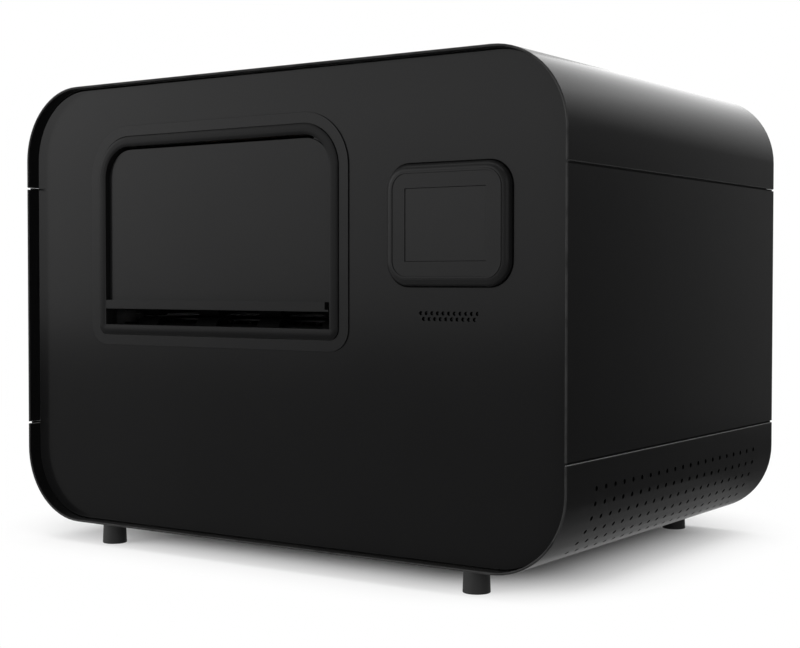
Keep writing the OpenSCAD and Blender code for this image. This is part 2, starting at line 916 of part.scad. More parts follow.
// Upright angles in the four corners, and angles along the floor behind both panels
module frame_angles() {
    color("#9a9c9e") difference() {
        union() {
            both_sides() {
                block([x_in - angle_t, x_in], [y_panel_in, y_panel_in + angle_leg], [z_side0, z_side1]);
                block([x_in - angle_leg, x_in], [y_panel_in, y_panel_in + angle_t], [z_side0, z_side1]);
                block([x_in - angle_t, x_in], [y_back_in - angle_leg, y_back_in], [z_side0, z_side1]);
                block([x_in - angle_leg, x_in], [y_back_in - angle_t, y_back_in], [z_side0, z_side1]);
            }
            block([-x_flat, x_flat], [y_panel_in, y_panel_in + angle_leg], [z_floor, z_floor + angle_t]);
            block([-x_flat, x_flat], [y_panel_in, y_panel_in + angle_t], [z_floor, z_floor + angle_leg]);
            block([-x_flat, x_flat], [y_back_in - angle_leg, y_back_in], [z_floor, z_floor + angle_t]);
            block([-x_flat, x_flat], [y_back_in - angle_t, y_back_in], [z_floor, z_floor + angle_leg]);
        }
        at_rear_screws() rear_screw_hole();
        at_feet() foot_screw_hole(z_floor, angle_t);
    }
}

// Rails behind the lower seams, and shelves below the upper seams
module seam_rails() {
    z_seam = (z_tray + z_side0) / 2;
    color("#9a9c9e") both_sides() {
        block([x_in - angle_t, x_in], [y_deck0, y_deck1], span(z_seam, rail_h));
        block([x_in - angle_t, x_in], [y_deck0, y_deck1], [z_side1 - rail_h, z_side1]);
        block([x_in - shelf_w, x_in], [y_deck0, y_deck1], [z_side1 - angle_t, z_side1]);
    }
}

module base_plate() {
    color("#a9abad") block([-x_flat, x_flat], [y_deck0, y_deck1], [z_floor, z_deck]);
}

// Tapered rubber feet with a recess for their screws
module rubber_feet() {
    color("#1c1c1c") at_feet() difference() {
        cylinder(h = foot_h, d1 = foot_d, d2 = foot_top_d);
        translate([0, 0, -over]) cylinder(h = foot_bore_h + over, d = foot_bore_d);
        foot_screw_hole(0, foot_h);
    }
}

// All screws: through the feet with their nuts, and into the rear panel
module machine_screws() {
    z_nut = z_floor + angle_t;
    color("#b7b9bc") {
        at_feet() {
            bar_z(0, 0, [foot_bore_h - screw_head_h, foot_bore_h], screw_head_d / 2);
            bar_z(0, 0, [foot_bore_h - screw_head_h, z_nut + nut_h + over], foot_screw_d / 2);
            translate([0, 0, z_nut]) cylinder(h = nut_h, d = nut_d, $fn = 6);
        }
        at_rear_screws() slotted_screw();
        at_port_screws() translate([0, 0, port_plate_t]) slotted_screw();
    }
}

// A screw with a slotted head, from the face that it clamps
module slotted_screw() {
    difference() {
        union() {
            cylinder(h = screw_head_h, d = screw_head_d);
            bar_z(0, 0, [-panel_t - angle_t - over, over], screw_d / 2);
        }
        translate([0, 0, screw_head_h])
            cube([screw_head_d + over, screw_slot, screw_head_h], center = true);
    }
}

// Window, flap, display and speaker

// The window's outline moved outwards by g: round upper corners, square sill at g = 0
module window_outline(g) {
    translate([-win_w / 2 - g, 0]) square([win_w + 2 * g, win_h - win_r]);
    translate([win_r - win_w / 2, 0]) square([win_w - 2 * win_r, win_h + g]);
    for (s = [-1, 1]) {
        translate([s * (win_w / 2 - win_r), win_h - win_r]) circle(win_r + g);
    }
    if (g > 0) {
        translate([-win_w / 2, -g]) square([win_w, 2 * g]);
        for (s = [-1, 1]) {
            translate([s * win_w / 2, 0]) circle(g);
        }
    }
}

// The raised frame: one crowned strip carried round the window
module frame_section() {
    crowned_section(frame_band, frame_proud, frame_edge);
}
module frame_strip() {
    mid = frame_band / 2;
    both_sides() {
        translate([win_w / 2 + mid, win_h - win_r, 0]) rotate([90, 0, 0])
            linear_extrude(win_h - win_r) frame_section();
        translate([win_w / 2 - win_r, win_h - win_r, 0]) rotate_extrude(angle = 90)
            translate([win_r + mid, 0]) frame_section();
        translate([win_w / 2, 0, 0]) rotate([0, 0, -90]) rotate_extrude(angle = 90)
            translate([mid, 0]) frame_section();
    }
    translate([0, win_h + mid, 0]) rotate([90, 0, 90]) linear_extrude(win_w - 2 * win_r, center = true)
        frame_section();
    translate([0, -mid, 0]) rotate([90, 0, 90]) linear_extrude(win_w, center = true) frame_section();
}

// A lug behind the flap that it closes against
module flap_stop() {
    depth = tunnel_d - (y_flap + flap_t + free_gap - y_panel);
    translate([win_w / 2 - stop_w, slot_h + stop_up, -tunnel_d]) cube([stop_w + over, stop_h, depth]);
}

module window_bezel() {
    color("#262627") difference() {
        on_front(win_x, z_sill) {
            frame_strip();
            linear_extrude(groove_floor) difference() {
                window_outline(frame_band + flange_band);
                window_outline(0);
            }
            linear_extrude(flange_t) difference() {
                window_outline(frame_band + flange_band);
                window_outline(frame_band + frame_groove);
            }
            translate([0, 0, -tunnel_d]) linear_extrude(tunnel_d + flange_t) difference() {
                window_outline(tunnel_wall);
                window_outline(0);
            }
            both_sides() flap_stop();
        }
        bar_x(span(win_x, win_w + 2 * pin_seat), y_pivot, z_pivot, pivot_d / 2 + run_fit);
    }
}

// The swinging flap: a plate with a forward lip below and pivot barrels behind
module exit_flap() {
    r = win_r - flap_clear;
    h = win_h - flap_top_gap - slot_h;
    y_lip = y_flap - flap_set;
    color("#2a2a2b") difference() {
        union() {
            along_y(y_flap, y_flap + flap_t) translate([win_x, z_lip]) {
                translate([-flap_half, 0]) square([2 * flap_half, h - r]);
                translate([r - flap_half, 0]) square([2 * (flap_half - r), h]);
                for (s = [-1, 1]) {
                    translate([s * (flap_half - r), h - r]) circle(r);
                }
            }
            block(span(win_x, 2 * flap_half), [y_lip, y_flap + flap_t], [z_lip, z_lip + lip_floor]);
            block([win_x - flap_half, win_x + flap_half - lip_short], [y_lip, y_flap + flap_t / 2],
                [z_lip, z_lip + lip_h]);
            translate([win_x, 0, 0]) both_sides()
                bar_x([flap_half - pivot_barrel, flap_half], y_pivot, z_pivot, barrel_out);
        }
        translate([win_x, 0, 0]) both_sides()
            bar_x([pin_x0, flap_half + over], y_pivot, z_pivot, pivot_d / 2 + set_fit);
    }
}

module flap_pivot_pins() {
    color("#c9cbce") translate([win_x, 0, 0]) both_sides()
        bar_x([pin_x0, win_w / 2 + pin_seat - free_gap], y_pivot, z_pivot, pivot_d / 2);
}

// The raised display housing, with a seat for the glass and an opening behind it
module display_housing() {
    color("#303031") on_front(disp_x, disp_z) difference() {
        soft_pad(disp_w, disp_h, disp_r, disp_proud, disp_round);
        translate([0, 0, disp_proud - screen_sink - glass_t]) linear_extrude(disp_proud)
            rect(screen_w, screen_h);
        translate([0, 0, -over]) linear_extrude(disp_proud)
            rect(screen_w - 2 * glass_ledge, screen_h - 2 * glass_ledge);
    }
}

module display_glass() {
    color("#202021") on_front(disp_x, disp_z) translate([0, 0, disp_proud - screen_sink - glass_t])
        linear_extrude(glass_t) rect(screen_w - 2 * glass_fit, screen_h - 2 * glass_fit);
}

// The screen's frame and its board, behind the housing
module display_module() {
    lift = disp_proud - screen_sink - glass_t;
    color("#3a4a40") on_front(disp_x, disp_z) {
        translate([0, 0, -module_d]) linear_extrude(module_d) rect(module_w, module_h);
        translate([0, 0, -over]) linear_extrude(lift + over - free_gap)
            rect(screen_w - 3 * glass_ledge, screen_h - 3 * glass_ledge);
    }
}

module speaker() {
    color("#3b3b3c") translate([disp_x, y_panel_in, speaker_z]) rotate([-90, 0, 0]) {
        linear_extrude(speaker_plate) round_rect(speaker_w, speaker_h, speaker_r);
        linear_extrude(speaker_plate + basket_d) round_rect(basket_w, basket_h, basket_r);
        cylinder(h = speaker_plate + basket_d + magnet_h, d = magnet_d);
    }
}

// Embossing unit

// The side plates' outline in (Y, Z) with all seats
module plate_outline() {
    difference() {
        polygon([
            [plate_step, z_deck], [plate_rear, z_deck], [plate_rear, z_paper + 2 * arm_h],
            [y_drum + 2 * arm_h, plate_top], [plate_step, plate_top], [plate_step, z_paper + 2 * arm_h],
            [plate_step - arm_h, z_paper + arm_h], [plate_front, z_paper + arm_h],
            [plate_front, z_paper - arm_h], [plate_step - arm_h, z_paper - arm_h],
            [plate_step, z_paper - 2 * arm_h]
        ]);
        for (z = [z_upper, z_lower]) {
            translate([y_drum, z]) circle(d = bearing_d + 2 * set_fit);
        }
        translate([y_tractor, z_feed]) circle(d = feed_shaft_d + 2 * run_fit);
        translate([y_rod, z_feed]) circle(d = feed_shaft_d + 2 * set_fit);
        translate([y_exit, z_exit]) circle(d = exit_shaft_d + 2 * run_fit);
        translate([y_exit, z_pinch]) circle(d = pinch_shaft_d + 2 * run_fit);
        for (p = plate_holes) {
            translate([y_drum, z_deck] + p) circle(hole_r);
        }
    }
}

module left_side_plate() {
    color("#b9bbbe") {
        along_x(xl_out, xl) plate_outline();
        block([xl - over, xl + foot_rail], [plate_step, plate_rear], [z_deck, z_deck + foot_rail_h]);
    }
}

module right_side_plate() {
    color("#b9bbbe") {
        along_x(xr, xr_out) plate_outline();
        block([xr - foot_rail, xr + over], [plate_step, plate_rear], [z_deck, z_deck + foot_rail_h]);
    }
}

// Round bars that hold the side plates apart
module tie_bars() {
    color("#c4c6c8") {
        bar_x([xl, xr], plate_step + tie_d, z_deck + tie_lift, tie_d / 2);
        bar_x([xl, xr], plate_rear - tie_d, z_deck + tie_lift, tie_d / 2);
        bar_x([xl, xr], plate_step + tie_d, plate_top - tie_d, tie_d / 2);
    }
}

// One drum with its shaft: dot rings with grooves between them, from x0 to x1
module drum(z, x1) {
    x0 = xl_out - shaft_end;
    a = win_x - drum_len / 2 - x0;
    step = drum_len / (drum_rings + 0.5);
    rings = [
        for (i = [0 : drum_rings - 1], p = [
            [drum_r, 0], [drum_r, 0.5], [drum_r - ring_depth, 0.5], [drum_r - ring_depth, 1]
        ]) [p[0], a + (i + p[1]) * step]
    ];
    tail = [
        [drum_r, a + drum_rings * step], [drum_r, a + drum_len], [shaft_d / 2, a + drum_len],
        [shaft_d / 2, x1 - x0], [0, x1 - x0]
    ];
    translate([x0, y_drum, z]) rotate([0, 90, 0]) rotate_extrude()
        polygon(concat([[0, 0], [shaft_d / 2, 0], [shaft_d / 2, a]], rings, tail));
}

module upper_drum() {
    color("#d0d2d4") drum(z_upper, gear_x1 + shaft_end);
}

module lower_drum() {
    color("#d0d2d4") drum(z_lower, pulley_x1 + shaft_end);
}

// Four ball bearings drawn as rings with a groove on each face
module drum_bearings() {
    ri = shaft_d / 2 + run_fit;
    ro = bearing_d / 2;
    rm = (ri + ro) / 2;
    g = (ro - ri) / 6;
    color("#d9dadb") for (x = [xl - plate_t / 2, xr + plate_t / 2], z = [z_upper, z_lower]) {
        translate([x, y_drum, z]) rotate([0, 90, 0]) rotate_extrude() difference() {
            translate([ri, -bearing_w / 2]) square([ro - ri, bearing_w]);
            for (s = [-1, 1]) {
                translate([rm, s * bearing_w / 2]) rect(2 * g, 2 * g);
            }
        }
    }
}

// Involute of a circle: the angle by which the flank has turned at radius r
function involute(r, rb) = sqrt(r * r / (rb * rb) - 1) * 180 / PI - acos(rb / r);

// A spur gear's outline, with a tooth on its +X side
module gear_outline(teeth, m) {
    rp = teeth * m / 2;
    rb = rp * cos(pressure_angle);
    levels = [0, 0.35, 0.7, 1];
    r0 = max(rb, rp - tooth_in * m) + over / 100;
    r1 = rp + tooth_out * m;
    radii = [for (k = levels) r0 + k * (r1 - r0)];
    thick = 90 / teeth - tooth_slack * 180 / (PI * rp) + involute(rp, rb);
    half = [for (r = radii) thick - involute(r, rb)];
    polygon([
        for (i = [0 : teeth - 1], k = [-4, -3, -2, -1, 0, 1, 2, 3])
            let (n = k < 0 ? k + 4 : 3 - k, a = i * 360 / teeth + (k < 0 ? -half[n] : half[n]))
            [radii[n] * cos(a), radii[n] * sin(a)]
    ]);
}

// A drum gear, with the tooth that meets its partner turned by an angle
module drum_gear(z, turn) {
    translate([gear_x0, y_drum, z]) rotate([90, 0, 90]) linear_extrude(gear_w) difference() {
        rotate(turn) gear_outline(gear_teeth, gear_m);
        circle(d = shaft_d + 2 * set_fit);
    }
}

module upper_drum_gear() {
    color("#c2a866") drum_gear(z_upper, -90);
}

module lower_drum_gear() {
    color("#c2a866") drum_gear(z_lower, 90 + 180 / gear_teeth);
}

module drum_pulley() {
    color("#8f9194") rimmed_pulley(pulley_x0, y_drum, z_lower, pulley_r, belt_w, shaft_d / 2 + set_fit);
}

// A square motor along X from its front face at x0: two end bells and a stepped core
module square_motor(x0, dir, y, z, w, len, r) {
    lo = min(x0, x0 + dir * len);
    hi = max(x0, x0 + dir * len);
    along_x(lo, hi) translate([y, z]) round_rect(w - 2 * bell_step, w - 2 * bell_step, r + bell_step);
    along_x(lo, lo + bell_len) translate([y, z]) round_rect(w, w, r);
    along_x(hi - bell_len, hi) translate([y, z]) round_rect(w, w, r);
}

module drive_motor() {
    x0 = motor_x0 + bracket_t;
    color("#4b4d50") difference() {
        union() {
            square_motor(x0, 1, y_motor, z_motor, motor_w, motor_len, motor_r);
            bar_x([x0 - bracket_t, x0 + over], y_motor, z_motor, motor_boss_d / 2);
        }
        bar_x([x0 - 2 * bracket_t, x0 + bell_len], y_motor, z_motor, motor_shaft_d / 2 + run_fit);
    }
}

// The motor's shaft with its belt pulley
module motor_pulley() {
    color("#8f9194") {
        rimmed_pulley(pulley_x0, y_motor, z_motor, pinion_r, belt_w, motor_shaft_d / 2 - over);
        bar_x([pulley_x0, motor_x0 + bracket_t + bell_len - over], y_motor, z_motor, motor_shaft_d / 2);
    }
}

// The angle that carries the main motor on the base plate
module motor_bracket() {
    y = span(y_motor, motor_w);
    color("#b9bbbe") difference() {
        union() {
            block([motor_x0, motor_x0 + bracket_t], y, [z_deck, z_motor + motor_w / 2]);
            block([motor_x0, motor_x0 + motor_len], y, [z_deck, z_deck + bracket_t]);
        }
        bar_x([motor_x0 - over, motor_x0 + bracket_t + over], y_motor, z_motor, motor_boss_d / 2 + set_fit);
    }
}

module drive_belt() {
    x0 = pulley_x0 + flange_w + belt_side;
    color("#1b1b1b") belt(x0, x0 + belt_w, [y_drum, z_lower], pulley_r, [y_motor, z_motor], pinion_r);
}

// A bar of solenoids whose plungers point at a drum; dir is +1 above the drum and -1 below
module selector_bank(z0, dir) {
    step = (drum_len - solenoid_d) / (solenoid_n - 1);
    first = win_x + solenoid_d / 2 - drum_len / 2;
    z_far = z0 + dir * bank_h;
    block([xl, xr], span(y_drum, bank_w), [min(z0, z_far), max(z0, z_far)]);
    for (i = [0 : solenoid_n - 1], s = [-1, 1]) {
        z = dir > 0 ? [z_far - over, z_far + solenoid_h] : [z_far - solenoid_h, z_far + over];
        bar_z(first + i * step, y_drum + s * bank_w / 4, z, solenoid_d / 2);
    }
    for (i = [0 : solenoid_n - 1]) {
        reach = bank_gap - plunger_gap;
        z = dir > 0 ? [z0 - reach, z0 + over] : [z0 - over, z0 + reach];
        bar_z(first + i * step, y_drum, z, plunger_d / 2);
    }
}

module upper_selector_bank() {
    color("#6f6a58") selector_bank(z_bank_hi, 1);
}

module lower_selector_bank() {
    color("#6f6a58") selector_bank(z_bank_lo, -1);
}

// Thin plates above and below the paper, and the sill in front of the exit rollers
module paper_guides() {
    y0 = y_exit + exit_r + guide_exit;
    y3 = y_tractor - tractor_end - guide_exit;
    color("#c9cbce") {
        for (z = [z_paper - guide_gap - guide_t, z_paper + guide_gap]) {
            block([xl, xr], [y0, y_drum - guide_nip], [z, z + guide_t]);
            block([xl, xr], [y_drum + guide_nip, y3], [z, z + guide_t]);
        }
        block([xl, xr], [plate_front, y_exit - exit_r - guide_exit], [z_chute - guide_t, z_chute]);
    }
}

// Paper feed

// The driven shaft of the tractors with its two sprockets and its belt pulley
module tractor_shaft() {
    color("#c4c6c8") {
        bar_x([feed_face - bell_len + over, xr_out + shaft_end], y_tractor, z_feed, feed_r);
        for (x = track_x) {
            bar_x(span(x, track_w), y_tractor, z_feed, sprocket_r);
        }
        rimmed_pulley(feed_x0, y_tractor, z_feed, feed_pulley_r, feed_belt_w, feed_r - over);
    }
}

// The fixed rod behind, with the wheels that the tractor belts run over
module tractor_rod() {
    color("#c4c6c8") {
        bar_x([xl_out, xr_out], y_rod, z_feed, feed_r);
        for (x = track_x) {
            bar_x(span(x, track_w), y_rod, z_feed, sprocket_r);
        }
    }
}

// A channel on each side of the paper, with the knuckle for its door
module tractor_bodies() {
    color("#38393b") for (i = [0, 1]) {
        s = 2 * i - 1;
        y_mid = (y_tractor + y_rod) / 2;
        half = (y_rod - y_tractor) / 2 + tractor_end - door_knuckle - knuckle_gap;
        translate([track_x[i], 0, 0]) difference() {
            union() {
                block([-tractor_w, tractor_w] / 2, [y_tractor - tractor_end, y_rod + tractor_end],
                    [z_feed - channel_floor - tractor_floor, z_paper - cheek_drop]);
                bar_y(s * door_hang, span(y_mid, 2 * half), z_door, door_r);
                block([min(s * door_hang, s * tractor_w / 3), max(s * door_hang, s * tractor_w / 3)],
                    span(y_mid, 2 * half), [z_door - door_r - belt_t, z_door - door_pin_d / 2 - over]);
            }
            block([-channel_w, channel_w] / 2, [y_tractor - 2 * tractor_end, y_rod + 2 * tractor_end],
                [z_feed - channel_floor, z_paper + over]);
            bar_x([-tractor_w, tractor_w], y_tractor, z_feed, feed_r + free_gap);
            bar_x([-tractor_w, tractor_w], y_rod, z_feed, feed_r + set_fit);
            bar_y(s * door_hang, span(y_mid, 4 * half), z_door, door_pin_d / 2 + run_fit);
        }
    }
}

// The pegged belts that carry the paper's margins
module tractor_belts() {
    pegs = floor(tractor_len / peg_pitch);
    color("#2c2c2c") for (x = track_x) {
        side = track_w / 2;
        belt(x - side, x + side, [y_tractor, z_feed], sprocket_r, [y_rod, z_feed], sprocket_r);
        for (i = [0 : pegs]) {
            translate([x, y_tractor + i * peg_pitch, z_paper - over])
                cylinder(h = peg_h + over, d1 = peg_d, d2 = peg_tip);
        }
    }
}

// A door over one tractor; s is -1 on the left and +1 on the right. Its pin turns with it
module tractor_door(x, s) {
    y0 = y_tractor - tractor_end;
    y1 = y_rod + tractor_end;
    z0 = z_door + door_pin_d / 2;
    x_far = -s * tractor_w / 2;
    translate([x, 0, 0]) {
        difference() {
            union() {
                block([min(s * door_hang, x_far), max(s * door_hang, x_far)], [y0, y1], [z0, z0 + door_t]);
                bar_y(s * door_hang, [y0, y0 + door_knuckle], z_door, door_r);
                bar_y(s * door_hang, [y1 - door_knuckle, y1], z_door, door_r);
            }
            block(span(s * door_hang, 2 * door_r + 4 * free_gap), [y0 + door_knuckle, y1 - door_knuckle],
                [z_door - door_r, z0 + 2 * door_t]);
            block(span(0, door_slot), [y_tractor - door_slot, y_rod + door_slot], [z_door, z0 + 2 * door_t]);
        }
        bar_y(s * door_hang, [y0, y1], z_door, door_pin_d / 2);
    }
}

module left_tractor_door() {
    color("#45474a") tractor_door(track_x[0], -1);
}

module right_tractor_door() {
    color("#45474a") tractor_door(track_x[1], 1);
}

// The stepper on the tractor shaft, held off the side plate by four posts
module feed_motor() {
    at = feed_w * standoff_at;
    color("#4b4d50") difference() {
        union() {
            square_motor(feed_face, -1, y_tractor, z_feed, feed_w, feed_len, feed_motor_r);
            for (sy = [-1, 1], sz = [-1, 1]) {
                bar_x([feed_face - over, xl_out], y_tractor + sy * at, z_feed + sz * at, standoff_d / 2);
            }
        }
        bar_x([feed_face - bell_len, feed_face + over], y_tractor, z_feed, feed_r + run_fit);
    }
}

module feed_belt() {
    x0 = feed_x0 + flange_w + belt_side;
    r = feed_pulley_r;
    color("#1b1b1b") belt(x0, x0 + feed_belt_w, [y_exit, z_exit], r, [y_tractor, z_feed], r);
}

module exit_shaft() {
    color("#c4c6c8") {
        bar_x([feed_x0 - shaft_end, xr_out + shaft_end], y_exit, z_exit, exit_shaft_d / 2);
        rimmed_pulley(feed_x0, y_exit, z_exit, feed_pulley_r, feed_belt_w, exit_shaft_d / 2 - over);
    }
}

// Rubber sleeves on the exit shaft
module exit_rollers() {
    color("#262626") for (i = [0 : exit_n - 1]) {
        translate([win_x + (i + 0.5) * exit_step - unit_w / 2, 0, 0]) difference() {
            bar_x([-exit_len, exit_len] / 2, y_exit, z_exit, exit_r);
            bar_x([-exit_len, exit_len], y_exit, z_exit, exit_shaft_d / 2 + set_fit);
        }
    }
}

// The pressure rollers above the paper, on one shaft
module pinch_roller() {
    color("#3a3a3a") {
        bar_x([xl_out - shaft_end, xr_out + shaft_end], y_exit, z_pinch, pinch_shaft_d / 2);
        for (i = [0 : exit_n - 1]) {
            translate([win_x + (i + 0.5) * exit_step - unit_w / 2, 0, 0])
                bar_x([-exit_len, exit_len] / 2, y_exit, z_pinch, pinch_r);
        }
    }
}

// Electrics

// A perforated box on the base plate
module power_supply() {
    x1 = x_flat - over;
    x0 = x1 - psu_w;
    y0 = y_deck0 + 2 * angle_leg;
    color("#a4a6a8") difference() {
        block([x0, x1], [y0, y0 + psu_len], [z_deck, z_deck + psu_h]);
        for (i = [1 : psu_rows], j = [1 : psu_cols]) {
            bar_z(x0 + j * psu_w / (psu_cols + 1), y0 + i * psu_len / (psu_rows + 1),
                [z_deck + psu_h - psu_hole_deep, z_deck + psu_h + over], psu_hole / 2);
        }
    }
}

// The board on four posts, with its larger components
module control_board() {
    y1 = y_board + board_t;
    color("#2f5d3a") translate([board_x, 0, board_z]) {
        block([-board_w, board_w] / 2, [y_board, y1], [-board_h, board_h] / 2);
        for (sx = [-1, 1], sz = [-1, 1]) {
            bar_y(sx * (board_w / 2 - board_inset), [y_board, y_back_in], sz * (board_h / 2 - board_inset),
                board_post_d / 2);
        }
        for (c = chips) {
            block(span(c[0], c[2]), [y_board - c[4], y_board + over], span(c[1], c[3]));
        }
        for (x = cans) {
            bar_y(x, [y_board - can_h, y_board + over], can_z, can_d / 2);
        }
    }
}

// The sockets on the board that show through the rear panel
module data_ports() {
    y0 = y_board + board_t;
    color("#b5b7ba") for (p = ports) {
        translate([board_x + p[0], 0, port_z]) difference() {
            block(span(0, p[1]), [y0, y_ports + port_proud], span(0, p[2]));
            block(span(0, p[1] - 2 * port_wall), [y_back_in - panel_t, y_ports + 2 * port_proud],
                span(0, p[2] - 2 * port_wall));
        }
    }
}

// The fan's square frame, with struts that carry the rotor's axle
module fan_housing() {
    color("#29292a") translate([fan_x, y_back_in, fan_z]) rotate([90, 0, 0]) {
        linear_extrude(fan_d) difference() {
            round_rect(fan_w, fan_w, fan_corner);
            circle(fan_bore);
        }
        translate([0, 0, fan_d - strut_t]) linear_extrude(strut_t) {
            circle(hub_r);
            rect(2 * fan_bore + over, strut_w);
            rect(strut_w, 2 * fan_bore + over);
        }
        translate([0, 0, strut_t]) cylinder(h = fan_d - strut_t, d = axle_d);
    }
}

// The hub and blades, which turn on the housing's axle
module fan_rotor() {
    len = fan_d - 2 * strut_t - free_gap;
    r = fan_bore - tip_gap;
    color("#333334") translate([fan_x, y_back_in - strut_t, fan_z]) rotate([90, 0, 0]) difference() {
        union() {
            cylinder(h = len, r = hub_r);
            intersection() {
                cylinder(h = len, r = r);
                for (i = [0 : fan_blades - 1]) {
                    rotate(i * 360 / fan_blades) translate([0, 0, len / 2]) rotate([blade_tilt, 0, 0])
                        translate([hub_r / 2, -len, -blade_t / 2]) cube([r, 2 * len, blade_t]);
                }
            }
        }
        translate([0, 0, -over]) cylinder(h = len + 2 * over, d = axle_d + 2 * run_fit);
    }
}

// The inlet: a flange outside, a body inside, a recess with three blades and a well for the rocker
module mains_inlet() {
    color("#1e1e1f") on_rear(inlet_x, inlet_z) {
        difference() {
            union() {
                linear_extrude(inlet_flange) round_rect(inlet_w, inlet_h, inlet_rim);
                translate([0, 0, -inlet_deep]) linear_extrude(inlet_deep + over)
                    rect(inlet_w - inlet_rim, inlet_h - inlet_rim);
            }
            translate([0, -socket_drop, inlet_flange - socket_deep]) linear_extrude(socket_deep + over)
                rect(socket_w, socket_h);
            translate([0, rocker_up, inlet_flange - rocker_deep]) linear_extrude(rocker_deep + over)
                rect(rocker_w + 2 * rocker_fit, rocker_h + 2 * rocker_fit);
            bar_x(span(0, rocker_w + 2 * (rocker_fit + rocker_pin_in)), rocker_up, 0,
                rocker_pin_d / 2 + run_fit);
        }
        for (s = [-1, 0, 1]) {
            y = -socket_drop - blade_h * (1 - abs(s));
            translate([s * blade_gap, y, inlet_flange - socket_deep - over])
                linear_extrude(blade_len + over) rect(blade_h, blade_w);
        }
    }
}

// The rocker, drawn in its off position on two pivot stubs
module power_switch() {
    h = rocker_h / 2;
    top = inlet_flange + rocker_rise;
    color("#3a3a3b") on_rear(inlet_x, inlet_z) translate([0, rocker_up, 0]) {
        rotate([rocker_tilt, 0, 0]) rotate([90, 0, 90]) linear_extrude(rocker_w, center = true)
            polygon([[-h, top], [0, inlet_flange], [h, top], [h / 2, -h / 2], [-h / 2, -h / 2]]);
        bar_x(span(0, rocker_w + 2 * rocker_fit + rocker_pin_in), 0, 0, rocker_pin_d / 2);
    }
}

// The rounded mouth through which the paper enters at the rear
module paper_entry_bezel() {
    color("#262627") on_rear(win_x, z_paper) difference() {
        union() {
            soft_pad(win_w + 2 * entry_band, entry_h + 2 * entry_band, entry_band,
                entry_proud, entry_round);
            translate([0, 0, -entry_deep]) linear_extrude(entry_deep + over)
                rect(win_w + 2 * entry_wall, entry_h + 2 * entry_wall);
        }
        translate([0, 0, -entry_deep - over]) linear_extrude(entry_deep + entry_proud + 2 * over)
            rect(win_w, entry_h);
    }
}

bottom_tray();
left_side_panel();
right_side_panel();
top_cover();
cover_ribs();
cover_rest_tabs();
cover_hinge_leaves();
cover_hinge_brackets();
cover_hinge_pins();
cover_bumpers();
front_panel();
rear_panel();
port_plate();
frame_angles();
seam_rails();
base_plate();
rubber_feet();
machine_screws();
window_bezel();
exit_flap();
flap_pivot_pins();
display_housing();
display_glass();
display_module();
speaker();
left_side_plate();
right_side_plate();
tie_bars();
upper_drum();
lower_drum();
drum_bearings();
upper_drum_gear();
lower_drum_gear();
drum_pulley();
drive_motor();
motor_pulley();
motor_bracket();
drive_belt();
upper_selector_bank();
lower_selector_bank();
paper_guides();
tractor_shaft();
tractor_rod();
tractor_bodies();
tractor_belts();
left_tractor_door();
right_tractor_door();
feed_motor();
feed_belt();
exit_shaft();
exit_rollers();
pinch_roller();
power_supply();
control_board();
data_ports();
fan_housing();
fan_rotor();
mains_inlet();
power_switch();
paper_entry_bezel();
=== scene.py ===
# %% [markdown]
# # A braille embosser
# The machine is a charcoal sheet-metal casing on rubber feet, with a hinged cover, a swing-up flap over the
# paper slot and an embossing unit inside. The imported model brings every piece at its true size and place,
# in metres. This lesson gives the pieces soft edges, small fittings and finishes, and sets them in a studio.

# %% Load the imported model
import json
import math
import bmesh
import bpy
from mathutils import Matrix, Vector

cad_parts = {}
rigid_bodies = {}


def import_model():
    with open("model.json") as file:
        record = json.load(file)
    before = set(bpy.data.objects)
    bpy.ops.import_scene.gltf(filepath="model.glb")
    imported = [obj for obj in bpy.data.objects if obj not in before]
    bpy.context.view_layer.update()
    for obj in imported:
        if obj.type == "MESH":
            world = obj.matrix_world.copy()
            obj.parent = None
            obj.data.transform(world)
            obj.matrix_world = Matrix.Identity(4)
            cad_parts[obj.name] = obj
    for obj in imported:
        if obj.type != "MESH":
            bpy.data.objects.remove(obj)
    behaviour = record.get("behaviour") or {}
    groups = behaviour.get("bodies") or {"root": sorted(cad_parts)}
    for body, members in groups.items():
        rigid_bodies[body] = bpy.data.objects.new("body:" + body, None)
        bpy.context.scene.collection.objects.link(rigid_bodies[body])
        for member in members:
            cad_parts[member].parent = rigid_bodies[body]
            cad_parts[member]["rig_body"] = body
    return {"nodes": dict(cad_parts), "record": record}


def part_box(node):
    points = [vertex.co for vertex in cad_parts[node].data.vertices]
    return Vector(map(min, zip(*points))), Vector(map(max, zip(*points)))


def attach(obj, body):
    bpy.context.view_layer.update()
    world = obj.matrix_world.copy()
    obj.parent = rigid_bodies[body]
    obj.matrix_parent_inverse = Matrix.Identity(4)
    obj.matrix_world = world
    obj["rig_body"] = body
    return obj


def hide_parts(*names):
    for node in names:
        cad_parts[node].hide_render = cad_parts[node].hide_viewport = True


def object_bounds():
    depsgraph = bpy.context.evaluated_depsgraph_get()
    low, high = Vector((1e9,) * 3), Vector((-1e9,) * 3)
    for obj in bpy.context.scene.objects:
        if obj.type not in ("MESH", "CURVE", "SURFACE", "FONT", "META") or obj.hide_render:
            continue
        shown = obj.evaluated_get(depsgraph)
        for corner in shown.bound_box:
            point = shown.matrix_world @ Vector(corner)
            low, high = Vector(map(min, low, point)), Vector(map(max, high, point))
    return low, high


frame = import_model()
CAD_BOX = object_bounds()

scene = bpy.context.scene
nodes = frame["nodes"]
SLOT_OF = {row["node"]: row["material_slot"] for row in frame["record"]["subparts"]}
BODY_OF = {name: node["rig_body"] for name, node in nodes.items()}

# %% [markdown]
# ## The camera
# The photograph looks at the machine from the front right, a little above the middle of its height, with a
# short telephoto lens. A camera's own axes are right, up and backwards, so its matrix can be filled from the
# viewing direction. That is easier to check than three Euler angles.

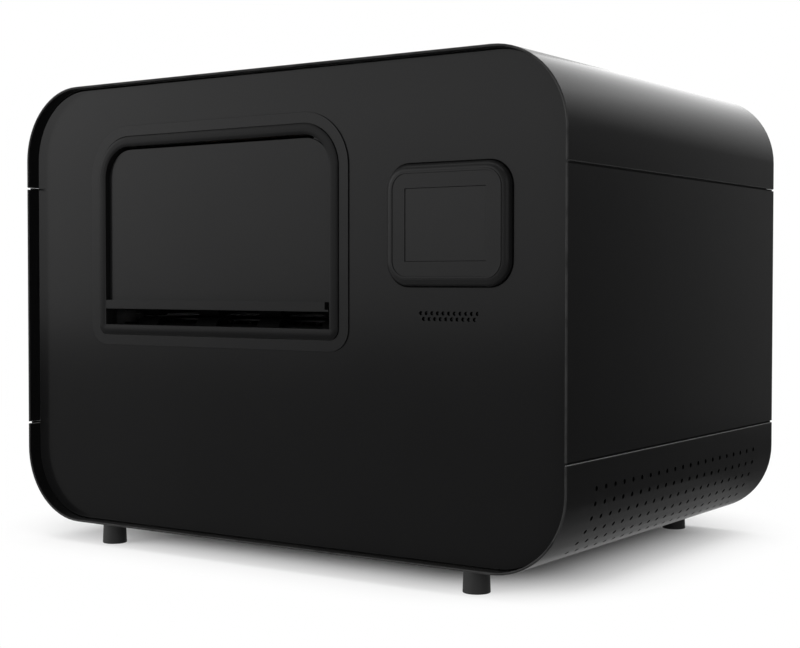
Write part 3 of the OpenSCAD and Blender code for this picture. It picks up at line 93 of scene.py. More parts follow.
# %% Place the camera
CAMERA_PLACE = Vector((0.9765, -1.4300, 0.2945))
CAMERA_LOOK = Vector((-0.5652, 0.8244, -0.0283)).normalized()
CAMERA_ROLL = math.radians(0.048)
LENS, SENSOR = 67.18, 36.0

camera_data = bpy.data.cameras.new("studio_camera")
camera_data.lens = LENS
camera_data.sensor_width = SENSOR
camera = bpy.data.objects.new("studio_camera", camera_data)
scene.collection.objects.link(camera)
right = CAMERA_LOOK.cross(Vector((0, 0, 1))).normalized()
up = right.cross(CAMERA_LOOK)
turn = Matrix((right, up, -CAMERA_LOOK)).transposed().to_4x4()
camera.matrix_world = Matrix.Translation(CAMERA_PLACE) @ turn @ Matrix.Rotation(CAMERA_ROLL, 4, "Z")
scene.camera = camera
machine_middle = (CAD_BOX[0] + CAD_BOX[1]) / 2
print("camera", round((CAMERA_PLACE - machine_middle).length, 3), "m from the machine's middle")

# %% [markdown]
# ## Nodes without clutter
# Every finish below is a small node tree. Four helpers keep the cells short. The first adds a node and fills
# or links its sockets, and the second multiplies two values or takes the larger. The third opens a shader
# node group with named sockets, so that an effect such as powder grain is built once, and the last places
# such a group in a finish.

# %% Helpers for node trees
def add(tree, kind, sockets=None, **settings):
    node = tree.nodes.new("ShaderNode" + kind)
    for key, value in settings.items():
        setattr(node, key, value)
    for key, value in (sockets or {}).items():
        if isinstance(value, bpy.types.NodeSocket):
            tree.links.new(value, node.inputs[key])
        else:
            node.inputs[key].default_value = value
    return node


def combine(tree, first, second, operation="MULTIPLY"):
    return add(tree, "Math", {0: first, 1: second}, operation=operation).outputs[0]


def open_group(name, inputs, outputs):
    group = bpy.data.node_groups.new(name, "ShaderNodeTree")
    for label, value in inputs.items():
        kind = "NodeSocketVector" if isinstance(value, tuple) else "NodeSocketFloat"
        group.interface.new_socket(label, in_out="INPUT", socket_type=kind).default_value = value
    for label in outputs:
        group.interface.new_socket(label, in_out="OUTPUT", socket_type="NodeSocketFloat")
    return group, group.nodes.new("NodeGroupInput").outputs, group.nodes.new("NodeGroupOutput").inputs


def place_group(tree, group, sockets):
    return add(tree, "Group", sockets, node_tree=group).outputs


# %% [markdown]
# ## Grain
# Powder coat, moulded plastic and cast metal all have a fine all-over grain with slow drifts of tone. Two
# noises make both: a fine one for the height of the grain and a broad one for the tone. They read Object
# coordinates, which stay with a piece when its joint turns.

# %% Build the grain group
grain, grain_in, grain_out = open_group("grain", {"Scale": 700.0, "Drift": 9.0}, ["Height", "Tone"])
place = add(grain, "TexCoord").outputs["Object"]
fine = add(grain, "TexNoise", {"Vector": place, "Scale": grain_in["Scale"], "Detail": 2.0, "Roughness": 0.55})
broad = add(grain, "TexNoise", {"Vector": place, "Scale": grain_in["Drift"], "Detail": 3.0, "Roughness": 0.6})
grain.links.new(fine.outputs["Fac"], grain_out["Height"])
grain.links.new(broad.outputs["Fac"], grain_out["Tone"])
print("group", grain.name, [s.name for s in grain.interface.items_tree])

# %% [markdown]
# ## Lines from the tool
# Turned shafts carry fine rings, and brushed or rolled sheet carries long scratches. Both are a noise that is
# squeezed along one direction, so one group serves them: the stretch says how fine it is along X, Y and Z.

# %% Build the tool-line group
tooled, tooled_in, tooled_out = open_group("tool_lines", {"Stretch": (900.0, 12.0, 12.0)}, ["Height", "Tone"])
place = add(tooled, "TexCoord").outputs["Object"]
squeezed = add(tooled, "VectorMath", {0: place, 1: tooled_in["Stretch"]}, operation="MULTIPLY")
lines = add(tooled, "TexNoise",
            {"Vector": squeezed.outputs[0], "Scale": 1.0, "Detail": 3.0, "Roughness": 0.65})
clouds = add(tooled, "TexNoise", {"Vector": place, "Scale": 22.0, "Detail": 2.0})
tooled.links.new(lines.outputs["Fac"], tooled_out["Height"])
tooled.links.new(clouds.outputs["Fac"], tooled_out["Tone"])
print("group", tooled.name, [s.name for s in tooled.interface.items_tree])

# %% [markdown]
# ## Rubbed edges and painted edge highlights
# Hands and cloths polish a coat along its edges first. On the dark coats, mouldings and rubber the same
# lighter band is mostly a painted highlight along the rounded edges. Every softened piece below carries an
# attribute named edge, which is 1 on the faces that round an edge. The group breaks that band up with noise,
# so that the rub is uneven as on a real machine.

# %% Build the rubbed-edge and painted-highlight group
rub_shine, rub_shine_in, rub_shine_out = open_group("rubbed_edge_and_highlight", {"Amount": 1.0, "Patch": 60.0}, ["Mask"])
place = add(rub_shine, "TexCoord").outputs["Object"]
edge = add(rub_shine, "Attribute", attribute_name="edge").outputs["Fac"]
patch = add(rub_shine, "TexNoise", {"Vector": place, "Scale": rub_shine_in["Patch"], "Detail": 4.0})
patch = add(rub_shine, "MapRange", {"Value": patch.outputs["Fac"], "From Min": 0.2, "From Max": 0.5}).outputs[0]
band = combine(rub_shine, edge, patch)
rub_shine.links.new(combine(rub_shine, band, rub_shine_in["Amount"]), rub_shine_out["Mask"])
print("group", rub_shine.name, [s.name for s in rub_shine.interface.items_tree])

# %% [markdown]
# ## Settled dust
# Paper dust falls on what faces up. The object's own normal gives the slope, which keeps the dust in place
# when a cover swings, and a noise makes it patchy.

# %% Build the dust group
dust, dust_in, dust_out = open_group("settled_dust", {"Amount": 0.3, "Patch": 14.0}, ["Mask"])
coords = add(dust, "TexCoord").outputs
slope = add(dust, "SeparateXYZ", {0: coords["Normal"]}).outputs["Z"]
slope = add(dust, "MapRange", {"Value": slope, "From Min": 0.55, "From Max": 1.0}).outputs[0]
patch = add(dust, "TexNoise",
            {"Vector": coords["Object"], "Scale": dust_in["Patch"], "Detail": 6.0, "Roughness": 0.7})
patch = add(dust, "MapRange", {"Value": patch.outputs["Fac"], "From Min": 0.35, "From Max": 0.75}).outputs[0]
film = combine(dust, slope, patch)
dust.links.new(combine(dust, film, dust_in["Amount"]), dust_out["Mask"])
print("group", dust.name, [s.name for s in dust.interface.items_tree])

# %% [markdown]
# ## A recipe for finishes
# A finish is a Principled shader whose colour drifts between two close tones, lightens where edges are rubbed
# and where a highlight is painted along them, and dulls where dust lies, with its roughness and bump from the
# same groups. Numbers that are the same all over the surface are set on the shader's own sockets, so that
# they survive an export.

# %% Helper that makes a finish
FINISHES = {}
DUST_TONE = (0.30, 0.29, 0.27)


def tint(tree, mask, colour_a, colour_b):
    mix = add(tree, "Mix", {"Factor": mask}, data_type="RGBA")
    for key, value in (("A", colour_a), ("B", colour_b)):
        socket = next(s for s in mix.inputs if s.name == key and s.type == "RGBA")
        if isinstance(value, bpy.types.NodeSocket):
            tree.links.new(value, socket)
        else:
            socket.default_value = (*value, 1.0)
    return next(s for s in mix.outputs if s.type == "RGBA")


def make_finish(name, dark, light, rough, pattern, bump, bump_size, rub_and_shine=None, dusty=0.0, **constants):
    material = bpy.data.materials.new(name)
    material.use_nodes = True
    tree = material.node_tree
    shader = tree.nodes["Principled BSDF"]
    group, values = pattern
    marks = place_group(tree, group, values)
    colour = tint(tree, marks["Tone"], dark, light)
    # The lighter edge tone is partly wear and partly a painted highlight along the edge.
    if rub_and_shine:
        amount, rub_shine_tone = rub_and_shine
        colour = tint(tree, place_group(tree, rub_shine, {"Amount": amount})["Mask"], colour, rub_shine_tone)
    if dusty:
        colour = tint(tree, place_group(tree, dust, {"Amount": dusty})["Mask"], colour, DUST_TONE)
    tree.links.new(colour, shader.inputs["Base Color"])
    spread = add(tree, "MapRange", {"Value": marks["Height"], "To Min": rough[0], "To Max": rough[1]})
    tree.links.new(spread.outputs[0], shader.inputs["Roughness"])
    relief = add(tree, "Bump", {"Height": marks["Height"], "Strength": bump, "Distance": bump_size})
    tree.links.new(relief.outputs["Normal"], shader.inputs["Normal"])
    for key, value in constants.items():
        shader.inputs[key.replace("_", " ")].default_value = value
    FINISHES[name] = material


# %% [markdown]
# ## Painted and moulded finishes
# The casing has a charcoal powder coat with a weak, soft gloss: its specular level is low, because a matt
# coat scatters most of what a smooth lacquer would mirror. The mouldings are a little greyer with a finer
# grain, rubber is rougher still, and the primer inside is flat.

# %% Make the coats, plastics and rubbers
# On the casing the light grey of the rubbed edges is mostly a painted highlight.
make_finish("casing_coat", (0.0035, 0.0035, 0.0036), (0.0049, 0.0049, 0.0050), (0.15, 0.20),
            (grain, {"Scale": 620.0, "Drift": 7.0}), 0.10, 0.0001, (1.0, (0.023, 0.023, 0.023)), 0.015,
            Specular_IOR_Level=0.05)
make_finish("flap_coat", (0.0037, 0.0037, 0.0038), (0.0053, 0.0053, 0.0054), (0.17, 0.23),
            (grain, {"Scale": 760.0, "Drift": 9.0}), 0.12, 0.0001, (0.5, (0.02, 0.02, 0.02)), 0.01,
            Specular_IOR_Level=0.05)
make_finish("bezel_plastic", (0.0036, 0.0036, 0.0037), (0.0054, 0.0054, 0.0055), (0.24, 0.34),
            (grain, {"Scale": 1300.0, "Drift": 12.0}), 0.2, 0.0001, (0.4, (0.02, 0.02, 0.02)),
            Specular_IOR_Level=0.055)
make_finish("frame_plastic", (0.0026, 0.0026, 0.0027), (0.0038, 0.0038, 0.0039), (0.26, 0.36),
            (grain, {"Scale": 1300.0, "Drift": 12.0}), 0.2, 0.0001, (0.4, (0.012, 0.012, 0.012)),
            Specular_IOR_Level=0.035)
make_finish("display_plastic", (0.0050, 0.0050, 0.0051), (0.0072, 0.0072, 0.0073), (0.28, 0.38),
            (grain, {"Scale": 1500.0, "Drift": 14.0}), 0.2, 0.0001, (0.4, (0.02, 0.02, 0.02)),
            Specular_IOR_Level=0.06)
make_finish("screen", (0.0045, 0.0045, 0.0046), (0.0060, 0.0060, 0.0061), (0.22, 0.26),
            (grain, {"Scale": 3000.0, "Drift": 10.0}), 0.03, 0.0001, Specular_IOR_Level=0.06)
make_finish("rubber", (0.011, 0.011, 0.011), (0.018, 0.018, 0.018), (0.55, 0.75),
            (grain, {"Scale": 1100.0, "Drift": 30.0}), 0.3, 0.0002, (0.5, (0.03, 0.03, 0.03)), 0.05,
            Specular_IOR_Level=0.2)
make_finish("black_plastic", (0.008, 0.008, 0.009), (0.013, 0.013, 0.014), (0.35, 0.5),
            (grain, {"Scale": 1600.0, "Drift": 20.0}), 0.25, 0.0001, (0.5, (0.05, 0.05, 0.05)), 0.04,
            Specular_IOR_Level=0.3)
make_finish("grey_plastic", (0.045, 0.046, 0.048), (0.060, 0.061, 0.063), (0.35, 0.5),
            (grain, {"Scale": 1600.0, "Drift": 20.0}), 0.25, 0.0001, (0.5, (0.12, 0.12, 0.12)), 0.05,
            Specular_IOR_Level=0.4)
# Near black with no gloss: painted shade for the walls of small holes and the ring round the display.
make_finish("painted_shade_black", (0.0010, 0.0010, 0.0010), (0.0016, 0.0016, 0.0016), (0.6, 0.8),
            (grain, {"Scale": 1600.0, "Drift": 30.0}), 0.1, 0.0001, Specular_IOR_Level=0.0)
# A light grey that paints the highlight along the tray's upper edge.
make_finish("painted_edge_highlight", (0.12, 0.12, 0.12), (0.16, 0.16, 0.16), (0.3, 0.4),
            (grain, {"Scale": 900.0, "Drift": 20.0}), 0.2, 0.0001, Specular_IOR_Level=0.1)
# Near-black rubber, darker than real rubber: painted shade for the rollers in the slot and the seals in the
# seams.
make_finish("shade_black_rubber", (0.0014, 0.0014, 0.0014), (0.0022, 0.0022, 0.0022), (0.6, 0.8),
            (grain, {"Scale": 1100.0, "Drift": 30.0}), 0.3, 0.0002, Specular_IOR_Level=0.03)
make_finish("inner_coat", (0.012, 0.012, 0.012), (0.017, 0.017, 0.017), (0.45, 0.6),
            (grain, {"Scale": 900.0, "Drift": 12.0}), 0.2, 0.0001, (0.6, (0.10, 0.10, 0.10)), 0.05,
            Specular_IOR_Level=0.2)
print(sorted(FINISHES))

# %% [markdown]
# ## Metals
# The frame is zinc plated, the shafts and drums are ground steel with rings from the lathe, the side plates
# are milled aluminium and the gears brass. Each has its own tool lines, and so have the wound coils and the
# stacked sheets of the motors. Blackened steel is the one that isn't metallic, because its black is a film of
# oxide; it is set darker than oxide, as painted shade for the parts deep inside. The green circuit board
# closes the list.

# %% Make the metals and the board
make_finish("zinc_steel", (0.36, 0.37, 0.38), (0.52, 0.53, 0.54), (0.30, 0.48),
            (tooled, {"Stretch": (260.0, 18.0, 260.0)}), 0.12, 0.0001, (0.8, (0.7, 0.7, 0.7)), 0.12,
            Metallic=1.0)
make_finish("bright_steel", (0.50, 0.50, 0.51), (0.62, 0.62, 0.63), (0.16, 0.34),
            (tooled, {"Stretch": (1400.0, 20.0, 20.0)}), 0.15, 0.0001, (0.6, (0.8, 0.8, 0.8)), 0.06,
            Metallic=1.0)
# Darker than real oxide: painted shade for the blackened parts deep inside.
make_finish("black_steel", (0.0016, 0.0016, 0.0017), (0.0024, 0.0024, 0.0025), (0.4, 0.55),
            (tooled, {"Stretch": (900.0, 20.0, 20.0)}), 0.12, 0.0001, Specular_IOR_Level=0.05)
make_finish("cast_aluminium", (0.52, 0.53, 0.54), (0.66, 0.67, 0.68), (0.26, 0.42),
            (tooled, {"Stretch": (30.0, 30.0, 700.0)}), 0.12, 0.0001, (0.8, (0.85, 0.85, 0.85)), 0.08,
            Metallic=1.0)
make_finish("gear_brass", (0.50, 0.34, 0.13), (0.66, 0.47, 0.20), (0.20, 0.36),
            (tooled, {"Stretch": (900.0, 40.0, 40.0)}), 0.12, 0.0001, (0.8, (0.85, 0.68, 0.36)), 0.05,
            Metallic=1.0)
make_finish("copper_coil", (0.19, 0.075, 0.026), (0.33, 0.14, 0.05), (0.26, 0.45),
            (tooled, {"Stretch": (30.0, 30.0, 2200.0)}), 0.6, 0.0003, (0.7, (0.5, 0.26, 0.12)), 0.08,
            Metallic=0.6)
make_finish("laminations", (0.030, 0.031, 0.033), (0.052, 0.053, 0.055), (0.34, 0.55),
            (tooled, {"Stretch": (2600.0, 30.0, 30.0)}), 0.6, 0.0003, (0.7, (0.2, 0.2, 0.2)), 0.08,
            Metallic=0.7)
make_finish("board", (0.010, 0.060, 0.028), (0.018, 0.085, 0.042), (0.3, 0.45),
            (grain, {"Scale": 400.0, "Drift": 60.0}), 0.1, 0.0001, (0.7, (0.3, 0.3, 0.2)), 0.06,
            Specular_IOR_Level=0.4)
print(len(FINISHES), "finishes in all")

# %% [markdown]
# ## Soft edges
# Sheet metal and mouldings never end in a knife edge, and the thin bright line along a rounded edge is what
# makes a black machine readable. A copy of each node is merged, its flat areas are dissolved into single
# faces, and its sharp edges are bevelled. An edge that is left out is marked as not smooth, so that it still
# shades as a crisp one. The bevel's faces get the edge attribute for the rub and its painted highlight. The
# copy then stands for the node, at the same size. Where one node holds several materials, regions say which
# faces take another finish: each is a finish and a test on a face.

# %% Helper that softens the edges of a node
SHARP = math.radians(32)
FLAT = math.radians(0.4)
MERGE, NEAR = 1e-6, 0.0005


def finish_piece(name, mesh, body, finishes, replaced=()):
    for finish in finishes:
        mesh.materials.append(FINISHES[finish])
    piece = bpy.data.objects.new(name, mesh)
    scene.collection.objects.link(piece)
    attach(piece, body)
    if replaced:
        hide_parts(*replaced)
    return piece


def shape_piece(name, bm, like, finish):
    mesh = bpy.data.meshes.new(name)
    bm.to_mesh(mesh)
    bm.free()
    print(name, len(mesh.polygons), "faces")
    finish_piece(name, mesh, BODY_OF[like], [finish])


def soften(node, width, segments=2, shortest=0.0, finish=None, regions=(), level_edges=True):
    bm = bmesh.new()
    bm.from_mesh(nodes[node].data)
    bmesh.ops.remove_doubles(bm, verts=bm.verts, dist=MERGE)
    bmesh.ops.dissolve_limit(bm, angle_limit=FLAT, verts=bm.verts, edges=bm.edges)
    layer = bm.faces.layers.float.new("edge")
    for index, (_, belongs) in enumerate(regions, 1):
        for face in filter(belongs, bm.faces):
            face.material_index = index
    sharp = [e for e in bm.edges if len(e.link_faces) == 2 and e.calc_face_angle() > SHARP]
    for edge in sharp:
        level = abs(edge.verts[0].co.z - edge.verts[1].co.z) < NEAR
        edge.smooth = edge.calc_length() > shortest and (level_edges or not level)
    rounded = [e for e in sharp if e.smooth]
    made = bmesh.ops.bevel(bm, geom=rounded, offset=width, affect="EDGES", segments=segments, profile=0.5,
                           material=-1, clamp_overlap=True, loop_slide=True)
    for face in made["faces"]:
        face[layer] = 1.0
    for face in bm.faces:
        face.smooth = True
    mesh = bpy.data.meshes.new(node + "_softened")
    bm.to_mesh(mesh)
    bm.free()
    finishes = [finish or SLOT_OF[node]] + [name for name, _ in regions]
    piece = finish_piece(node + "_softened", mesh, BODY_OF[node], finishes, [node])
    piece.modifiers.new("flat_faces", "WEIGHTED_NORMAL").keep_sharp = True
    return piece


# %% [markdown]
# ## The casing's pieces
# The sheets' edges are almost fully round, mouldings less. The small perforations stay as punched, which
# the shortest edge length sorts out, and their walls, known by their small faces, are painted near black as
# shade. The side panels are cut square above and below, so their level edges stay sharp, while the tray's
# upper edge carries a light grey painted highlight. The window's frame stands proud of its flange as a narrow
# crown, moulded in a duller black.

# %% Soften the casing
CASING_STEPS = 3
PUNCHED_EDGE, PUNCHED_AREA = 0.0009, 4e-6
FLANGE_T, FLANGE_CLEAR = 0.0015, 0.0002
CASING_EDGES = {
    "bottom_tray": 0.0012, "left_side_panel": 0.0012, "right_side_panel": 0.0012, "top_cover": 0.0012,
    "front_panel": 0.0004, "rear_panel": 0.0004, "window_bezel": 0.0004, "exit_flap": 0.0005,
    "display_housing": 0.0004, "display_glass": 0.0003, "rubber_feet": 0.0008, "paper_entry_bezel": 0.0004,
}
# The walls of the small holes are painted near black, as shade.
CASING_REGIONS = {node: [("painted_shade_black", lambda face: face.calc_area() < PUNCHED_AREA)]
                  for node in ("bottom_tray", "front_panel", "rear_panel")}
tray_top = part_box("bottom_tray")[1].z
# The tray's upper edge takes a painted highlight.
CASING_REGIONS["bottom_tray"].append(
    ("painted_edge_highlight", lambda face: face.calc_center_median().z > tray_top - NEAR))
frame_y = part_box("front_panel")[0].y - FLANGE_T - FLANGE_CLEAR
CASING_REGIONS["window_bezel"] = [("frame_plastic", lambda face: face.calc_center_median().y < frame_y)]
for node, width in CASING_EDGES.items():
    piece = soften(node, width, CASING_STEPS, shortest=PUNCHED_EDGE, regions=CASING_REGIONS.get(node, ()),
                   level_edges=not node.endswith("side_panel"))
    print(piece.name, len(piece.data.polygons), "faces")

# %% [markdown]
# ## Coils, motors and electronics
# A selector bank is an aluminium bar with wound coils, each closed by a dark cap, and steel plungers on its
# other side. A motor is a stack of steel sheets between two cast ends. On the board stand black chips and
# bare aluminium cans, the supply's holes are painted near black as shade, and the inlet has brass blades.
# Each of these is one node, so its faces are sorted by where they lie in the node's box, measured from the
# box's low corner.

# %% Soften the nodes of several materials
# Lengths in a selector bank, the two motors, the board, the supply and the inlet
COIL, BAR, PLUNGER = 0.030, 0.020, 0.007
BANK = COIL + BAR + PLUNGER
BELL, BOSS = 0.016, 0.006
DRIVE, FEED, STANDOFF = 0.080, 0.041, 0.022
CHIPS, BOARD, POST = 0.020, 0.0016, 0.0184
CAN_Z, CAN_REACH = 0.145, 0.008
SUPPLY_H, SUPPLY_HOLE = 0.055, 0.002
BLADES = {"x": (0.0155, 0.0325), "y": (0.0175, 0.0295), "z": (0.0115, 0.0185)}


def in_box(node, **spans):
    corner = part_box(node)[0]
    limits = [(axis, getattr(corner, axis) + a, getattr(corner, axis) + b) for axis, (a, b) in spans.items()]
    return lambda face: all(a < getattr(face.calc_center_median(), axis) < b for axis, a, b in limits)


def bank_regions(node, upright):
    bands = [("copper_coil", NEAR, COIL - NEAR), ("black_plastic", -NEAR, NEAR),
             ("bright_steel", COIL + BAR + NEAR, BANK + NEAR)]
    if upright:
        bands = [(finish, BANK - b, BANK - a) for finish, a, b in bands]
    return [(finish, in_box(node, z=(a, b))) for finish, a, b in bands]


MIXED = {
    "upper_selector_bank": (0.0004, "cast_aluminium", bank_regions("upper_selector_bank", True)),
    "lower_selector_bank": (0.0004, "cast_aluminium", bank_regions("lower_selector_bank", False)),
    "drive_motor": (0.0006, "cast_aluminium", [
        ("laminations", in_box("drive_motor", x=(BOSS + BELL + NEAR, BOSS + DRIVE - BELL - NEAR)))]),
    "feed_motor": (0.0004, "cast_aluminium", [
        ("laminations", in_box("feed_motor", x=(BELL + NEAR, FEED - BELL - NEAR))),
        ("bright_steel", in_box("feed_motor", x=(FEED + NEAR, FEED + STANDOFF + NEAR)))]),
    "control_board": (0.0002, "board", [
        ("black_plastic", in_box("control_board", y=(-NEAR, CHIPS - NEAR))),
        ("cast_aluminium", in_box("control_board", y=(-NEAR, CHIPS - NEAR),
                                  z=(CAN_Z - CAN_REACH, CAN_Z + CAN_REACH))),
        ("gear_brass", in_box("control_board", y=(CHIPS + BOARD + NEAR, CHIPS + BOARD + POST + NEAR)))]),
    "power_supply": (0.0005, "zinc_steel", [
        # painted shade: the supply's holes are near black
        ("painted_shade_black", in_box("power_supply", z=(SUPPLY_H - SUPPLY_HOLE - NEAR, SUPPLY_H - NEAR)))]),
    "mains_inlet": (0.0004, "black_plastic", [("gear_brass", in_box("mains_inlet", **BLADES))]),
}
for node, (width, finish, regions) in MIXED.items():
    piece = soften(node, width, finish=finish, regions=regions)
    counts = [0] * len(piece.data.materials)
    for polygon in piece.data.polygons:
        counts[polygon.material_index] += 1
    print(piece.name, dict(zip([m.name for m in piece.data.materials], counts)))

# %% [markdown]
# ## The plainer inner pieces
# Inside the cover and at the back the same softening is enough: plates and brackets lose their burrs, and
# mouldings get the small radius of their mould. Thin parts take a narrow bevel.

# %% Soften the inner and rear pieces
INNER_EDGES = {
    "cover_ribs": 0.0004, "cover_rest_tabs": 0.0004, "cover_bumpers": 0.0005, "cover_hinge_leaves": 0.0004,
    "cover_hinge_brackets": 0.0004, "port_plate": 0.0003, "data_ports": 0.0002, "machine_screws": 0.0003,
    "power_switch": 0.0005, "fan_housing": 0.0005, "left_side_plate": 0.0007, "right_side_plate": 0.0007,
    "tie_bars": 0.0005, "upper_drum": 0.0003, "lower_drum": 0.0003, "base_plate": 0.0005,
    "motor_bracket": 0.0006, "drum_pulley": 0.0003, "tractor_bodies": 0.0005, "left_tractor_door": 0.0005,
    "right_tractor_door": 0.0005, "speaker": 0.0005,
}
for node, width in INNER_EDGES.items():
    piece = soften(node, width)
    print(piece.name, len(piece.data.polygons), "faces")

# %% [markdown]
# ## Embossing pins
# The upper drum raises the dots: each of its lands carries a ring of blunt pins in pairs, as far apart as two
# dots of a braille cell. One pair of six-sided pins is made on the top of the drum, spun round its axis and
# copied from land to land. Six sides are enough for a shape that appears two thousand times.

# %% Ring the drum with pins
PIN_FOOT, PIN_TIP, PIN_H, PIN_ROOT = 0.0009, 0.0005, 0.0006, 0.00005
PIN_SIDES, PINS_ROUND = 6, 36
DOT_PITCH = 0.0025
DRUM_LEN, LANDS = 0.330, 27
LAND_STEP = DRUM_LEN / (LANDS - 0.5)

low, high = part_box("upper_drum")
paper_low, paper_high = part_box("paper_guides")
axis_y, axis_z, drum_r = (low.y + high.y) / 2, (low.z + high.z) / 2, (high.z - low.z) / 2
land_x = (paper_low.x + paper_high.x - DRUM_LEN) / 2 + LAND_STEP / 4
pins = bmesh.new()
for side in (-0.5, 0.5):
    seat = (land_x + side * DOT_PITCH, axis_y, axis_z + drum_r + PIN_H / 2 - PIN_ROOT)
    bmesh.ops.create_cone(pins, cap_ends=True, segments=PIN_SIDES, radius1=PIN_FOOT, radius2=PIN_TIP,
                          depth=PIN_H, matrix=Matrix.Translation(seat))
bmesh.ops.spin(pins, geom=pins.faces[:], axis=(1, 0, 0), cent=(land_x, axis_y, axis_z), use_duplicate=True,
               angle=math.tau * (PINS_ROUND - 1) / PINS_ROUND, steps=PINS_ROUND - 1)
one_land = pins.faces[:]
for land in range(1, LANDS):
    copy = bmesh.ops.duplicate(pins, geom=one_land)
    moved = [item for item in copy["geom"] if isinstance(item, bmesh.types.BMVert)]
    bmesh.ops.translate(pins, vec=(land * LAND_STEP, 0, 0), verts=moved)
bmesh.ops.recalc_face_normals(pins, faces=pins.faces)
shape_piece("embossing_pins", pins, "upper_drum", "bright_steel")

# %% [markdown]
# ## Screws at the back
# The hinge brackets and the fan are held by button screws. A screw starts as a low cone; its top is inset
# twice, the second time inwards, which sinks the socket for the key.

# %% Set the screws
SCREW_R, SCREW_H, SCREW_SIDES = 0.0036, 0.0018, 18
CROWN_R, CROWN_W = 0.7 * SCREW_R, 0.25 * SCREW_R
SOCKET_H, SOCKET_TAPER = 0.0012, 0.02 * SCREW_R
FAN_PITCH = 0.0825
BRACKET_T, BRACKET_HALF, BRACKET_UP, BRACKET_SIDE = 0.002, 0.030, 0.019, 0.020


def button_screw(bm, place):
    stand = Matrix.Translation(place + Vector((0, SCREW_H / 2, 0))) @ Matrix.Rotation(-math.pi / 2, 4, "X")
    made = bmesh.ops.create_cone(bm, cap_ends=True, segments=SCREW_SIDES, radius1=SCREW_R, radius2=CROWN_R,
                                 depth=SCREW_H, matrix=stand)
    top = max({face for vert in made["verts"] for face in vert.link_faces},
              key=lambda face: face.calc_center_median().y)
    bmesh.ops.inset_individual(bm, faces=[top], thickness=CROWN_W)
    bmesh.ops.inset_individual(bm, faces=[top], thickness=SOCKET_TAPER, depth=-SOCKET_H)


rear_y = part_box("rear_panel")[1].y
low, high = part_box("fan_housing")
fan_middle = Vector(((low.x + high.x) / 2, rear_y, (low.z + high.z) / 2))
low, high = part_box("cover_hinge_brackets")
hinge_x = high.x - BRACKET_HALF
screws = bmesh.new()
for side in (-1, 1):
    for up in (-1, 1):
        button_screw(screws, fan_middle + Vector((side * FAN_PITCH / 2, 0, up * FAN_PITCH / 2)))
        seat = Vector((side * hinge_x + up * BRACKET_SIDE, rear_y + BRACKET_T, low.z + BRACKET_UP))
        button_screw(screws, seat)
shape_piece("rear_screws", screws, "machine_screws", "zinc_steel")

# %% [markdown]
# ## Seals in the seams
# The gaps between the tray, the side panels and the cover are closed by near-black rubber strips, their
# colour painted shade in the seams, that stop short of the casing's ends, so a little daylight shows through
# each gap's end. A strip is a stretched cube whose long edges are rounded.

# %% Lay the seals
SEAL_IN, SEAL_T, SEAL_SHORT, SEAL_PLAY, SEAL_ROUND = 0.0003, 0.0015, 0.0045, 0.0002, 0.0004

panel_low, panel_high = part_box("right_side_panel")
seams = ((tray_top, panel_low.z), (panel_high.z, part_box("top_cover")[0].z))
seals = bmesh.new()
for foot, head in seams:
    size = (SEAL_T, panel_high.y - panel_low.y - 2 * SEAL_SHORT, head - foot - SEAL_PLAY)
    for side in (-1, 1):
        seat = (side * (panel_low.x + SEAL_IN + SEAL_T / 2), 0.0, foot + size[2] / 2)
        strip = bmesh.ops.create_cube(seals, size=1.0, matrix=Matrix.LocRotScale(seat, None, size))
        edges = {edge for vert in strip["verts"] for edge in vert.link_edges}
        long_edges = [edge for edge in edges if edge.calc_length() > size[1] / 2]
        bmesh.ops.bevel(seals, geom=long_edges, offset=SEAL_ROUND, affect="EDGES", segments=3, profile=0.5,
                        material=-1)
# The strips take the near-black rubber, painted shade in the seams.
shape_piece("seam_seals", seals, "rubber_feet", "shade_black_rubber")

# %% [markdown]
# ## Rim and painted shadow ring of the display
# The display's face lies a little lower than a narrow rim around it, and a thin black ring, a painted shadow,
# shows all round where the housing meets the front. Both follow the housing's own outline, so that outline is
# taken from its front or back face, with the screen's opening filled. The rim is an inset ring, the shadow
# ring a slightly larger plate, and both get their thickness from the solidify operator.

# %% Add the rim and the painted shadow ring
RIM_W, RIM_H, RIM_ROUND = 0.0022, 0.0007, 0.0003
SHADOW_RING_OUT, SHADOW_RING_T = 0.0010, 0.0005
OPENING_SHARE, SAME_LEVEL = 0.75, 1e-5

low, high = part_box("display_housing")
middle, half = (low + high) / 2, (high - low) / 2


def housing_outline(level):
    bm = bmesh.new()
    bm.from_mesh(nodes["display_housing"].data)
    bmesh.ops.remove_doubles(bm, verts=bm.verts, dist=MERGE)
    others = [face for face in bm.faces if max(abs(vert.co.y - level) for vert in face.verts) > SAME_LEVEL]
    bmesh.ops.delete(bm, geom=others, context="FACES")
    opening = [edge for edge in bm.edges if edge.is_boundary and all(
        abs(vert.co[axis] - middle[axis]) < OPENING_SHARE * half[axis]
        for vert in edge.verts for axis in (0, 2))]
    bmesh.ops.holes_fill(bm, edges=opening, sides=0)
    bmesh.ops.dissolve_faces(bm, faces=bm.faces[:])
    return bm


def thicken(bm, thickness, level):
    bmesh.ops.solidify(bm, geom=bm.faces[:], thickness=thickness)
    bmesh.ops.recalc_face_normals(bm, faces=bm.faces)
    bmesh.ops.translate(bm, vec=(0, level - max(vert.co.y for vert in bm.verts), 0), verts=bm.verts)


